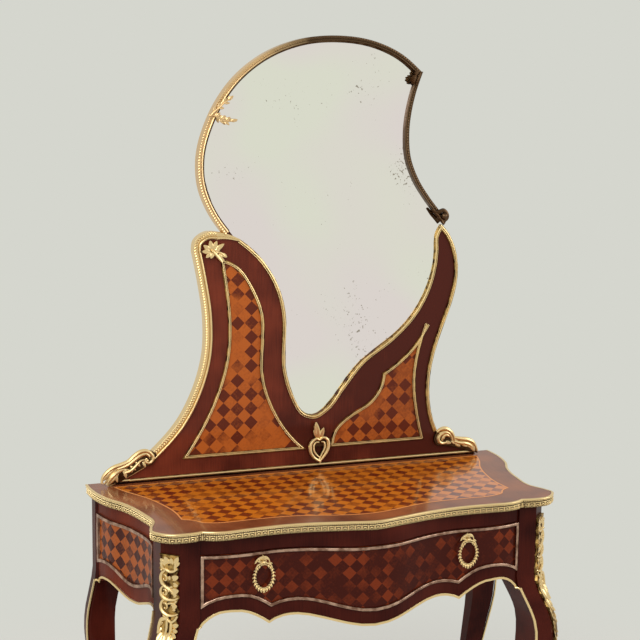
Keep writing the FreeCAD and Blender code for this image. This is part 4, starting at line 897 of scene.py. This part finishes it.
def bronze(name, bright, worn, rough_low=0.24, rough_high=0.42):
    """Cast bronze, chased and fire gilt: burnished high spots and matt, browner ground.

    The bright and the worn patches are about 17 mm wide."""
    material = blank(name)
    place = add(material, "TexCoord", {}).outputs["Object"]
    patch = add(material, "TexNoise", {"Vector": place, "Scale": 60,
                                       "Detail": 4}).outputs["Fac"]
    share = add(material, "MapRange", {"Value": patch, "From Min": 0.36, "From Max": 0.62})
    colour = add(material, "Mix", {"Factor": share.outputs["Result"], "A": rgba(worn),
                                   "B": rgba(bright)}, data_type="RGBA")
    return chased(material, place, colour, patch, rough_high, rough_low)


def fading_bronze(name, bright, dark):
    """Gilding on the left of the frame that has gone to bare bronze on its right.

    The edge between the two wanders in patches about 30 mm wide."""
    material = blank(name)
    place = add(material, "TexCoord", {}).outputs["Object"]
    where = add(material, "SeparateXYZ", {"Vector": place}).outputs["X"]
    patch = add(material, "TexNoise", {"Vector": place, "Scale": 30,
                                       "Detail": 4}).outputs["Fac"]
    where = add(material, "Math", {0: patch, 1: 0.12, 2: where},
                operation="MULTIPLY_ADD").outputs["Value"]
    share = add(material, "MapRange", {"Value": where, "From Min": -0.05, "From Max": 0.07})
    colour = add(material, "Mix", {"Factor": share.outputs["Result"], "A": rgba(bright),
                                   "B": rgba(dark)}, data_type="RGBA")
    return chased(material, place, colour, patch, 0.42, 0.26)


def old_mirror(name, silver, pink, fox):
    """Old silvered glass: a clear reflection, a warm cast, and grey specks of foxing.

    The specks are about 6 mm wide and gather in zones about 0.14 m wide, and the cast changes
    over about 0.3 m."""
    material = blank(name)
    place = add(material, "TexCoord", {}).outputs["Object"]
    specks = add(material, "TexNoise", {"Vector": place, "Scale": 170,
                                        "Detail": 3}).outputs["Fac"]
    zone = add(material, "TexNoise", {"Vector": place, "Scale": 7, "Detail": 2}).outputs["Fac"]
    both = add(material, "Math", {0: zone, 1: 0.75, 2: specks},
               operation="MULTIPLY_ADD").outputs["Value"]
    share = add(material, "MapRange", {"Value": both, "From Min": 1.125, "From Max": 1.185})
    share = share.outputs["Result"]
    tints = add(material, "TexNoise", {"Vector": place, "Scale": 3.2, "Detail": 1})
    tints = add(material, "MapRange", {"Value": tints.outputs["Fac"], "From Min": 0.4,
                                       "From Max": 0.6}).outputs["Result"]
    clear = add(material, "Mix", {"Factor": tints, "A": rgba(silver), "B": rgba(pink)},
                data_type="RGBA").outputs["Result"]
    colour = add(material, "Mix", {"Factor": share, "A": clear, "B": rgba(fox)},
                 data_type="RGBA").outputs["Result"]
    rough = add(material, "MapRange", {"Value": share, "To Min": 0.02, "To Max": 0.3})
    return end(material, add(material, "BsdfPrincipled", {
        "Base Color": colour, "Metallic": 1,
        "Roughness": rough.outputs["Result"]}).outputs["BSDF"])


def finish(name):
    """The named finish, made the first time it is asked for."""
    if name in bpy.data.materials:
        return bpy.data.materials[name]
    wood = bpy.context.scene.table_woods
    metal = bpy.context.scene.table_metals
    tile = bpy.context.scene.table_patterns.tile
    x, y, z = Vector((1, 0, 0)), Vector((0, 1, 0)), UP
    band = (wood.band_dark, wood.band_light)
    tiles = (wood.tile_dark, wood.tile_light)
    makers = {
        # The upright crossbanding of the stand and the frame's rail gets painted shade to its
        # right
        "crossband_upright": (veneer, 2, *band, 0.2, 0.75),
        "crossband_side": (veneer, 2, *band, 0.1),
        "crossband_level": (veneer, 1, wood.border_dark, wood.border_light, 0.38),
        "carcass_veneer": (veneer, 2, wood.case_dark, wood.case_light, 0.1),
        # A dark strip whose colour paints the shadow under the stand's base fillet
        "ebonised": (veneer, 0, wood.foot_shadow, wood.case_dark, 0.1),
        "boxwood": (veneer, 0, wood.box_line, wood.box_line),
        "parquetry_left": (parquetry, x, z, tile * 0.97, LEFT_START, *tiles),
        # The stand's right parquetry field gets painted shade to its right
        "parquetry_right": (parquetry, x, z, tile * 0.97, RIGHT_START, *tiles, 0.2, 0.3),
        "parquetry_top": (parquetry, x, y, tile * 1.02, TOP_START, wood.top_dark,
                          wood.top_light, 0.55, 0.0, (0.58, 0.8, 0.35)),
        "parquetry_side": (parquetry, y, z, tile * 0.92, SIDE_START, wood.side_dark,
                           wood.side_light, 0.2, 0.0, (0.6, 0.9, 0.2)),
        "parquetry_drawer": (parquetry, x, z, tile * 0.83, DRAWER_START, wood.drawer_light,
                             wood.drawer_dark, 0.12, 0.0, (0.44, 0.72, 0.95)),
        "oak_x": (plain_wood, wood.oak_dark, wood.oak_light, "x"),
        "oak_y": (plain_wood, wood.oak_dark, wood.oak_light, "y"),
        "oak_z": (plain_wood, wood.oak_dark, wood.oak_light, "z"),
        "gilt_bronze": (bronze, metal.gilt, metal.gilt_worn),
        "rubbed_bronze": (bronze, metal.rubbed, metal.rubbed_dark),
        # Darker bronze: tarnish in the mounts' hollows, and painted shade at the edges of the
        # fillets
        "hollow_bronze": (bronze, metal.gilt_worn, metal.varnish_and_shade, 0.4, 0.6),
        # Bare bronze on the frame's right, and also painted shade: the ornaments' backings, the
        # edge band's ground and the strip along the glass
        "dark_bronze": (bronze, metal.bronze, metal.varnish_and_shade, 0.3, 0.5),
        "frame_bronze": (fading_bronze, metal.gilt_frame, metal.bronze),
        "silvered_glass": (old_mirror, metal.silvering, metal.silvering_pink, metal.foxing)}
    make, *values = makers[name]
    return make(name, *values)


class TableStage(bpy.types.Operator):
    """Floor, background, soft lamps and the camera at the photograph's place"""
    bl_idname = "dressing_table.stage"
    bl_label = "Stage"

    def execute(self, context):
        stage = context.scene.table_stage
        self.make_floor(stage)
        self.make_world(context, stage)
        for name, place, power in (("key lamp", KEY_PLACE, stage.key_power),
                                   ("fill lamp", FILL_PLACE, stage.fill_power)):
            lamp = bpy.data.lights.new(name, "AREA")
            lamp.energy, lamp.size = power, LAMP_WIDTH
            made = bpy.data.objects.new(name, lamp)
            made.location = place
            aim = LAMP_AIM - made.location
            made.rotation_euler = aim.to_track_quat("-Z", "Y").to_euler()
            context.scene.collection.objects.link(made)
        self.make_camera(context)
        context.scene.view_settings.view_transform = "Standard"
        return {"FINISHED"}

    def make_floor(self, stage):
        """Smooth painted floor, uneven by a hair every 25 mm, that fades into the backdrop."""
        material = blank("floor")
        place = add(material, "TexCoord", {}).outputs["Object"]
        away = add(material, "VectorMath", {0: place}, operation="LENGTH").outputs["Value"]
        share = add(material, "MapRange", {"Value": away, "From Min": 0.7, "From Max": 1.9},
                    interpolation_type="SMOOTHSTEP").outputs["Result"]
        speckle = add(material, "TexNoise", {"Vector": place, "Scale": 40, "Detail": 3})
        bump = add(material, "Bump", {"Height": speckle.outputs["Fac"], "Strength": 0.05,
                                      "Distance": 0.001})
        matt = add(material, "BsdfPrincipled", {
            "Base Color": rgba(stage.floor), "Roughness": 0.6,
            "Normal": bump.outputs["Normal"]}).outputs["BSDF"]
        glow = add(material, "Emission", {"Color": rgba(stage.backdrop)}).outputs["Emission"]
        room = add(material, "Emission", {"Color": rgba(stage.room)}).outputs["Emission"]
        path = add(material, "LightPath", {})
        seen = add(material, "Math", {0: share, 1: path.outputs["Is Glossy Ray"]},
                   operation="MULTIPLY").outputs["Value"]
        both = add(material, "MixShader", {0: seen, 1: matt, 2: room}).outputs["Shader"]
        share = add(material, "Math", {0: share, 1: path.outputs["Is Camera Ray"]},
                    operation="MULTIPLY").outputs["Value"]
        end(material,
            add(material, "MixShader", {0: share, 1: both, 2: glow}).outputs["Shader"])
        bm = bmesh.new()
        bmesh.ops.create_circle(bm, cap_ends=True, segments=64, radius=40)
        mesh = bpy.data.meshes.new("floor")
        bm.to_mesh(mesh)
        bm.free()
        mesh.materials.append(material)
        floor = bpy.data.objects.new("floor", mesh)
        bpy.context.scene.collection.objects.link(floor)
        floor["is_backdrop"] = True

    def make_world(self, context, stage):
        """Even light on the table, and a plain room behind it and in its mirror and metal."""
        world = bpy.data.worlds.new("studio")
        world.use_nodes = True
        world.node_tree.nodes.clear()
        path = add(world, "LightPath", {})
        soft = add(world, "Background", {"Color": (1, 1, 1, 1), "Strength": 0.8})
        room = add(world, "Background", {"Color": rgba(stage.room), "Strength": 1})
        wall = add(world, "Background", {"Color": rgba(stage.backdrop), "Strength": 1})
        both = add(world, "MixShader", {0: path.outputs["Is Glossy Ray"],
                                        1: soft.outputs["Background"],
                                        2: room.outputs["Background"]})
        both = add(world, "MixShader", {0: path.outputs["Is Camera Ray"],
                                        1: both.outputs["Shader"],
                                        2: wall.outputs["Background"]})
        add(world, "OutputWorld", {"Surface": both.outputs["Shader"]})
        context.scene.world = world

    def make_camera(self, context):
        """The camera that was fitted to the photograph."""
        turn, tilt, roll = radians(CAMERA_TURN), radians(CAMERA_TILT), radians(CAMERA_ROLL)
        ahead = Vector((sin(turn) * cos(tilt), cos(turn) * cos(tilt), -sin(tilt)))
        right = ahead.cross(UP).normalized()
        over = right.cross(ahead)
        level = Matrix((right * cos(roll) + over * sin(roll),
                        over * cos(roll) - right * sin(roll), -ahead)).transposed()
        data = bpy.data.cameras.new("camera")
        data.sensor_fit = "HORIZONTAL"
        data.sensor_width = CAMERA_FRAME
        data.lens = CAMERA_LENS
        camera = bpy.data.objects.new("camera", data)
        camera.matrix_world = Matrix.Translation(CAMERA_PLACE) @ level.to_4x4()
        context.scene.collection.objects.link(camera)
        context.scene.camera = camera


class TableCarcass(bpy.types.Operator):
    """Legs, aprons and rails in crossbanded veneer, and the oak inside"""
    bl_idname = "dressing_table.carcass"
    bl_label = "Carcass"

    def execute(self, context):
        band = finish("carcass_veneer")
        for node in ("leg_front_left", "leg_front_right", "leg_back_left", "leg_back_right",
                     "front_top_rail", "front_apron_rail"):
            from_node(node, band, 0.9 * MM)
        for node in ("side_apron_left", "side_apron_right"):
            from_node(node, finish("crossband_side"), 0.9 * MM)
        for node in ("sabot_front_left", "sabot_front_right", "sabot_back_left",
                     "sabot_back_right"):
            from_node(node, finish("gilt_bronze"), 0.8 * MM)
        dress("back_apron", finish("oak_x"))
        for node in ("drawer_runner_left", "drawer_runner_right", "drawer_kickers"):
            dress(node, finish("oak_y"))
        for node in ("corner_blocks", "stand_tenons", "stand_battens", "mirror_backboard"):
            dress(node, finish("oak_z"))
        self.make_side_fields()
        from_node("side_panel_frames", finish("rubbed_bronze"), 2.2 * MM, 3)
        return {"FINISHED"}

    def make_side_fields(self):
        """The parquetry of the two sides, bent to their curved plan."""
        plan = smooth_line(on_plan(SIDE_PLAN, 0), 2 * MM)
        length = SIDE_BACK_Y - SIDE_FRONT_Y
        low = smooth_line([Vector((0, SIDE_BACK_Y - length * share,
                                   CARCASS_Z - SIDE_DROP * drop))
                           for share, drop in SIDE_FRAME], 2 * MM)
        high = CARCASS_Z - SIDE_DROP * SIDE_FRAME_TOP
        columns, rows = 60, 2
        bm = bmesh.new()
        made = bmesh.ops.create_grid(bm, x_segments=columns, y_segments=rows, size=0.5)
        for vert in made["verts"]:
            along = low[0].y + (low[-1].y - low[0].y) * (vert.co.x + 0.5)
            foot = min(low, key=lambda place: abs(place.y - along)).z
            face = min(plan, key=lambda place: abs(place.y - along)).x
            vert.co = Vector((face + 0.1 * MM, along,
                              foot + (high - foot) * (vert.co.y + 0.5)))
        bmesh.ops.recalc_face_normals(bm, faces=bm.faces)
        made = bmesh.ops.extrude_face_region(bm, geom=bm.faces[:])["geom"]
        bmesh.ops.translate(bm, vec=(FIELD_THICK * MM, 0, 0), verts=vertices(made))
        mirror_x(bm)
        finish_piece("side_parquetry", bm, finish("parquetry_side"), "table")


class TableTop(bpy.types.Operator):
    """The top board with its crossbanded border, light line and parquetry field"""
    bl_idname = "dressing_table.top"
    bl_label = "Table top"

    def execute(self, context):
        from_node("table_top", finish("crossband_level"), 0.5 * MM)
        runs = [[Vector((x, y, TOP_Z)) for x, y in run] for run in STRINGING]
        line = joined_lines(runs, 6 * MM)
        bm = bmesh.new()
        plate(bm, line, UP * (TOP_FIELD_THICK * MM))
        finish_piece("top_parquetry", bm, finish("parquetry_top"), "table")
        bm = bmesh.new()
        for run in (line, even_steps([line[-1], line[0]], 40 * MM)):
            moulded(bm, run, UP, STRINGING_PROFILE)
        finish_piece("top_stringing", bm, finish("boxwood"), "table")
        return {"FINISHED"}


class TableEdgeBand(bpy.types.Operator):
    """The gilt band round the top: a bead line over a row of leaves"""
    bl_idname = "dressing_table.edge_band"
    bl_label = "Edge band"

    def execute(self, context):
        sizes = context.scene.table_patterns
        line = top_line(CARCASS_Z, 5 * MM)
        # The band's hollow ground is dark bronze: tarnish, and painted shade in its recess
        for name, material, profile in (("edge_band", "gilt_bronze", BAND_LIP),
                                        ("edge_band_ground", "dark_bronze", BAND_GROUND)):
            bm = bmesh.new()
            moulded(bm, line, UP, profile)
            finish_piece(name, bm, finish(material), "table",
                         ["edge_band_front", "edge_band_corners", "edge_band_sides"])
        bm = bmesh.new()
        beads = top_line(CARCASS_Z + BEAD_HEIGHT * MM, sizes.bead_pitch)
        for place in offset(beads, UP, BEAD_SEAT * MM)[1:-1]:
            bead(bm, place, BEAD_RADIUS * MM, 6, 4)
        finish_piece("edge_band_beads", bm, finish("gilt_bronze"), "table")
        bm = bmesh.new()
        units = top_line(CARCASS_Z, sizes.leaf_pitch)
        for place, way in list(zip(units, sideways(units, UP)))[1:-1]:
            self.make_leaf(bm, place + way * (LEAF_SEAT * MM), -way)
        finish_piece("edge_band_leaves", bm, finish("gilt_bronze"), "table")
        return {"FINISHED"}

    def make_leaf(self, bm, place, out):
        """One drooping leaf, a curl at each side of it and buds between."""
        along = out.cross(UP).normalized()
        for side, high, far, low, width in BAND_LEAVES:
            lobe(bm, place + along * (side * MM) + UP * (high * MM),
                 place + along * (far * MM) + UP * (low * MM), width * MM, LEAF_THICK * MM,
                 out, 8, 5, 0.4, 0.5)
        for side, high, radius in BAND_BUDS:
            bead(bm, place + along * (side * MM) + UP * (high * MM), radius * MM, 6, 4)


class TableDrawer(bpy.types.Operator):
    """The drawer: its parquetry front, gilt moulding and oak box"""
    bl_idname = "dressing_table.drawer"
    bl_label = "Drawer"

    def execute(self, context):
        from_node("drawer_front", finish("parquetry_drawer"), 0.6 * MM, 2,
                  "drawer")
        from_node("drawer_frame_moulding", finish("rubbed_bronze"), 2.4 * MM, 4,
                  "drawer")
        for node in ("drawer_side_left", "drawer_side_right"):
            dress(node, finish("oak_y"))
        for node in ("drawer_back", "drawer_bottom"):
            dress(node, finish("oak_x"))
        from_node("handle_nuts", finish("gilt_bronze"), 0.4 * MM, 2, "drawer")
        return {"FINISHED"}


class TablePulls(bpy.types.Operator):
    """Two laurel wreaths that swing from bow-shaped plates on the drawer"""
    bl_idname = "dressing_table.pulls"
    bl_label = "Ring pulls"

    def execute(self, context):
        from_node("handle_plates", finish("gilt_bronze"), 0.5 * MM, 2, "drawer")
        for name in ("left", "right"):
            low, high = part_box("wreath_pull_" + name)
            hinge = Vector(((low.x + high.x) / 2, (low.y + high.y) / 2, PULL_Z))
            self.make_bow(name, hinge)
            self.make_wreath("pull_" + name, "wreath_pull_" + name, hinge)
        return {"FINISHED"}

    def make_bow(self, name, hinge):
        """A ribbon bow that arches over the pin, with its ends let down beside it."""
        def place(side, height, lift):
            return hinge + Vector((side, BOW_DEPTH * MM - lift, height))

        bm = bmesh.new()
        casting(bm, place, BOW_RIBBONS, BOW_FOLDS, [(0, 0, 3.4)])
        finish_piece("bow_" + name, bm, finish("gilt_bronze"), "drawer")

    def make_wreath(self, body, node, hinge):
        """A laurel ring, a thin cord at its top and thick with leaves at its foot."""
        bm = bmesh.new()
        middle = hinge - UP * (WREATH_DROP * MM)
        wide, tall = WREATH_WIDE * MM, WREATH_TALL * MM
        turns = [pi * 2 * i / 48 for i in range(49)]
        rod(bm, [middle + Vector((wide * sin(turn), 0, tall * cos(turn))) for turn in turns],
            [(1.1 - 0.2 * cos(turn)) * MM for turn in turns])
        for side in (-1, 1):
            for i in range(LAUREL_PAIRS):
                share = (i + LAUREL_START) / LAUREL_STEPS
                turn = side * pi * share
                grow = share ** 1.4
                root = middle + Vector((wide * sin(turn), 0, tall * cos(turn)))
                ahead = Vector((wide * cos(turn), 0, -tall * sin(turn))).normalized() * side
                out = (root - middle).normalized()
                for lean in (0.9, -0.9):
                    tip = root + (ahead + out * lean).normalized() * ((5.2 + 3.6 * grow) * MM)
                    lobe(bm, root, tip, (2.8 + 1.8 * grow) * MM, (2.4 + 1.8 * grow) * MM,
                         FORWARD, 8, 6, 0.4, 0.3, (0.3 + 0.9 * grow) * MM)
                bead(bm, root + (ahead * 2.2 + FORWARD * 1.6) * MM, (1.0 + 0.8 * grow) * MM,
                     6, 4)
        for side in (-1, 1):
            cord = [hinge + Vector((side * x, 0, z)) * MM for x, z in WREATH_CORD]
            rod(bm, smooth_line(cord, 2 * MM), CORD_RADIUS * MM)
        reach = Vector((PIN_HALF * MM, 0, 0))
        rod(bm, [hinge - reach, hinge + reach], PIN_RADIUS * MM)
        finish_piece("laurel_" + body, bm, finish("gilt_bronze"), body, [node])


class TableFillets(bpy.types.Operator):
    """Thin gilt lines along the aprons and down the legs"""
    bl_idname = "dressing_table.fillets"
    bl_label = "Apron fillets"

    def execute(self, context):
        for node in ("apron_fillet_front", "apron_fillets_side"):
            from_node(node, finish("gilt_bronze"), 1.4 * MM, 3)
        bm = bmesh.new()
        for joint in FILLET_JOINTS:
            rod(bm, smooth_line([Vector(place) * MM for place in joint], 2 * MM),
                JOINT_RADIUS * MM)
        mirror_x(bm)
        finish_piece("fillet_joints", bm, finish("gilt_bronze"), "table")
        return {"FINISHED"}


class TableCornerMounts(bpy.types.Operator):
    """Openwork scrolls over a long leaf on the canted corner of each front leg"""
    bl_idname = "dressing_table.corner_mounts"
    bl_label = "Corner mounts"

    def execute(self, context):
        # The mount's ground is darker bronze: tarnish in its hollows, and painted shade
        from_node("corner_mounts", finish("hollow_bronze"), 0.8 * MM)
        bm = bmesh.new()
        casting(bm, self.at, MOUNT_STRANDS, MOUNT_LEAVES, MOUNT_EYES)
        for height, size in MOUNT_HUSKS:
            self.make_husk(bm, height, size)
        mirror_x(bm)
        finish_piece("corner_mounts_cast", bm, finish("gilt_bronze"), "table",
                     ["corner_mounts"])
        return {"FINISHED"}

    def at(self, side, height, lift):
        """A place on the right corner: along its face, up from the floor and out from it."""
        for (high, deep_high), (low, deep_low) in zip(KNEE, KNEE[1:]):
            if height >= low:
                share = (high - height) / (high - low)
                deep = deep_high + (deep_low - deep_high) * share
                return (ALONG * (CANT_MIDDLE + side)
                        + OUTWARD * (deep + lift * CORNER_RELIEF) + UP * height)
        raise ValueError("no place on the corner is so low")

    def make_husk(self, bm, height, size):
        """Five leaves that fall and flare from under the leaves above."""
        leaves = [(x * size, height + z * size, far_x * size, height + far_z * size,
                   width * size) for x, z, far_x, far_z, width in HUSK_LEAVES]
        casting(bm, self.at, [], leaves)


class TableStand(bpy.types.Operator):
    """The stand's veneered panel, its two parquetry fields and their gilt fillets"""
    bl_idname = "dressing_table.stand"
    bl_label = "Mirror stand"

    def execute(self, context):
        from_node("stand_panel", finish("crossband_upright"), 0.8 * MM,
                  shrink=2.0 * MM)
        for side, runs in (("left", FIELD_LEFT), ("right", FIELD_RIGHT)):
            bm = bmesh.new()
            plate(bm, joined_lines([on_stand(run, STAND_Y) for run in runs], 6 * MM),
                  FORWARD * (FIELD_THICK * MM))
            finish_piece("parquetry_" + side, bm, finish("parquetry_" + side), "table")
        # The fillets are darker bronze, painted shade at the edges of the bright rods laid on
        # them
        for node in ("panel_fillet_left", "panel_fillet_right", "stand_base_fillet",
                     "stand_fillet_right", "sight_fillet"):
            from_node(node, finish("hollow_bronze"), 1.8 * MM, 3)
        self.make_fillet_rods()
        return {"FINISHED"}

    def make_fillet_rods(self):
        """Burnished rods on the shade-darkened fillets, and a strip of painted shadow at the
        foot.
        """
        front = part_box("panel_fillet_left")[0].y
        bm = bmesh.new()
        for runs in (FIELD_LEFT, FIELD_RIGHT):
            loop = [on_stand(run, front) for run in [*runs, [runs[-1][-1], runs[0][0]]]]
            for distance, radius in FIELD_RODS:
                for line in trimmed(loop, distance * MM, 2 * MM):
                    rod(bm, line, radius * MM)
        for run, distance, radius in EDGE_RODS:
            line = smooth_line(on_stand(run, front), 4 * MM)
            rod(bm, offset(line, FORWARD, distance * MM), radius * MM)
        low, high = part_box("stand_base_fillet")
        tail_x = low.x - FOOT_TAIL * MM
        rod_z = low.z + FOOT_ROD_HEIGHT * MM
        rod(bm, [Vector((x, low.y, rod_z)) for x in (low.x, high.x)], FOOT_ROD_RADIUS * MM)
        rod(bm, [Vector((x, low.y + FOOT_TAIL_BACK * MM, rod_z)) for x in (tail_x, low.x)],
            FOOT_TAIL_RADIUS * MM)
        finish_piece("stand_fillet_rods", bm, finish("gilt_bronze"), "table")
        # A dark strip that paints the shadow falling under the base fillet
        bm = bmesh.new()
        plate(bm, [Vector((x, STAND_Y, z)) for x, z in (
            (tail_x, TOP_Z), (high.x, TOP_Z), (high.x, low.z), (tail_x, low.z))],
            FORWARD * (FIELD_THICK * MM))
        finish_piece("stand_foot_shadow", bm, finish("ebonised"), "table")


def rope_edge(bm, line, pitch, seat):
    """Slanted strands along the outer edge of a band."""
    middle = even_steps(offset(line, FORWARD, seat * MM), pitch)
    ways = sideways(middle, FORWARD)
    for i, place in enumerate(middle[:-1]):
        along = (middle[i + 1] - place).normalized()
        slant = (ways[i] * (seat * 0.9) + along * ROPE_SLANT) * MM
        lobe(bm, place - slant, place + slant, ROPE_WIDTH * MM, ROPE_THICK * MM, FORWARD, 6, 6)


class TableStandBand(bpy.types.Operator):
    """The roped band that edges the stand's left wing and shoulder"""
    bl_idname = "dressing_table.stand_band"
    bl_label = "Roped band"

    def execute(self, context):
        front_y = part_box("stand_band_left")[0].y
        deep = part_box("stand_panel")[1].y - front_y
        runs = [on_stand(WING_LEFT, front_y), on_stand(SHOULDER, front_y)]
        line = joined_lines(runs, BAND_STEP * MM)
        bare = [place for place in line if place.x > SCROLL_END_X]
        foot_steps = len(line) - len(bare)
        widths = [min(1, TIP_SHARE + (1 - TIP_SHARE) * (len(line) - 1 - i) / TIP_STEPS,
                      FOOT_SHARE + (1 - FOOT_SHARE) * (i / foot_steps) ** 2)
                  for i in range(len(line))]
        bm = bmesh.new()
        moulded(bm, line, FORWARD, cut_back(BAND_PROFILE, deep), widths)
        finish_piece("stand_band", bm, finish("gilt_bronze"), "table",
                     ["stand_band_left"])
        bm = bmesh.new()
        rope_edge(bm, bare[:-TIP_STEPS], context.scene.table_patterns.rope_pitch,
                  BAND_ROPE_SEAT)
        distance, radius = BAND_ROD
        rod(bm, offset(bare, FORWARD, distance * MM)[:-TIP_STEPS], radius * MM)
        finish_piece("stand_rope", bm, finish("gilt_bronze"), "table")
        return {"FINISHED"}


class TableMirror(bpy.types.Operator):
    """The mirror: silvered glass in a frame of roped bronze"""
    bl_idname = "dressing_table.mirror"
    bl_label = "Mirror"

    def execute(self, context):
        low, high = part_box("mirror_glass")
        glass = from_node("mirror_glass", finish("silvered_glass"), 0.3 * MM)
        lean = GLASS_LEAN * MM / (high.z - low.z)
        glass.data.transform(Matrix(((1, 0, 0, 0), (0, 1, -lean, lean * low.z), (0, 0, 1, 0),
                                     (0, 0, 0, 1))))
        from_node("mirror_frame_rail", finish("crossband_upright"),
                  0.5 * MM, shrink=0.4 * MM)
        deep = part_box("mirror_frame_rail")[1].y - FRAME_Y
        line = joined_lines([on_stand(FRAME_LEFT, FRAME_Y), on_stand(FRAME_RIGHT, FRAME_Y)],
                            BAND_STEP * MM)
        bm = bmesh.new()
        moulded(bm, line, FORWARD, cut_back(FRAME_PROFILE, deep))
        finish_piece("frame_band", bm, finish("frame_bronze"), "table",
                     ["mirror_frame_band"])
        # A dark strip along the glass on the left that paints the shadow in the glass's rebate
        bm = bmesh.new()
        moulded(bm, smooth_line(on_stand(FRAME_LEFT, FRAME_Y), BAND_STEP * MM), FORWARD,
                SIGHT_SHADOW_STRIP)
        finish_piece("frame_sight_shadow", bm, finish("dark_bronze"), "table")
        bm = bmesh.new()
        rope_edge(bm, line, context.scene.table_patterns.rope_pitch, FRAME_ROPE_SEAT)
        distance, radius = FRAME_ROD
        rod(bm, offset(line, FORWARD, distance * MM), radius * MM)
        finish_piece("frame_rope", bm, finish("frame_bronze"), "table")
        return {"FINISHED"}


class TableOrnaments(bpy.types.Operator):
    """Cast scrolls, leaves, finial and heart on the stand and the frame"""
    bl_idname = "dressing_table.ornaments"
    bl_label = "Cast ornaments"

    def execute(self, context):
        # The backing plates are dark bronze, painted shadow between the cast strands and the
        # panel
        for node in ("scroll_mount_left", "scroll_mount_right", "heart_pendant"):
            from_node(node, finish("dark_bronze"), 2.5 * MM, 3)
        for name, node, strands, leaves, eyes, material in ORNAMENTS:
            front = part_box(node)[0].y

            def place(side, height, lift):
                return Vector((side, front + ORNAMENT_DEPTH * MM - lift, TOP_Z + height))

            bm = bmesh.new()
            casting(bm, place, strands, leaves, eyes)
            finish_piece(name, bm, finish(material), "table", [node])
        return {"FINISHED"}


class TablePanel(bpy.types.Panel):
    """Lists the makers of the dressing table's pieces"""
    bl_idname = "VIEW3D_PT_dressing_table"
    bl_label = "Dressing table"
    bl_space_type = "VIEW_3D"
    bl_region_type = "UI"
    bl_category = "Dressing table"

    def draw(self, context):
        for operator in OPERATORS:
            self.layout.operator(operator.bl_idname)


OPERATORS = (TableStage, TableCarcass, TableTop, TableEdgeBand, TableDrawer, TablePulls,
             TableFillets, TableCornerMounts, TableStand, TableStandBand, TableMirror,
             TableOrnaments)
SETTINGS = {"table_woods": WoodColours, "table_metals": MetalColours,
            "table_stage": StageSettings, "table_patterns": PatternSizes}


def register():
    for name, group in SETTINGS.items():
        bpy.utils.register_class(group)
        setattr(bpy.types.Scene, name, PointerProperty(type=group))
    for kind in (*OPERATORS, TablePanel):
        bpy.utils.register_class(kind)


def unregister():
    for kind in (TablePanel, *reversed(OPERATORS)):
        bpy.utils.unregister_class(kind)
    for name, group in SETTINGS.items():
        delattr(bpy.types.Scene, name)
        bpy.utils.unregister_class(group)


def main():
    register()
    for operator in OPERATORS:
        getattr(bpy.ops.dressing_table, operator.bl_idname.split(".")[1])()
    boxes = [[list(corner) for corner in box] for box in (construction_box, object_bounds())]


if __name__ == "__main__":
    main()
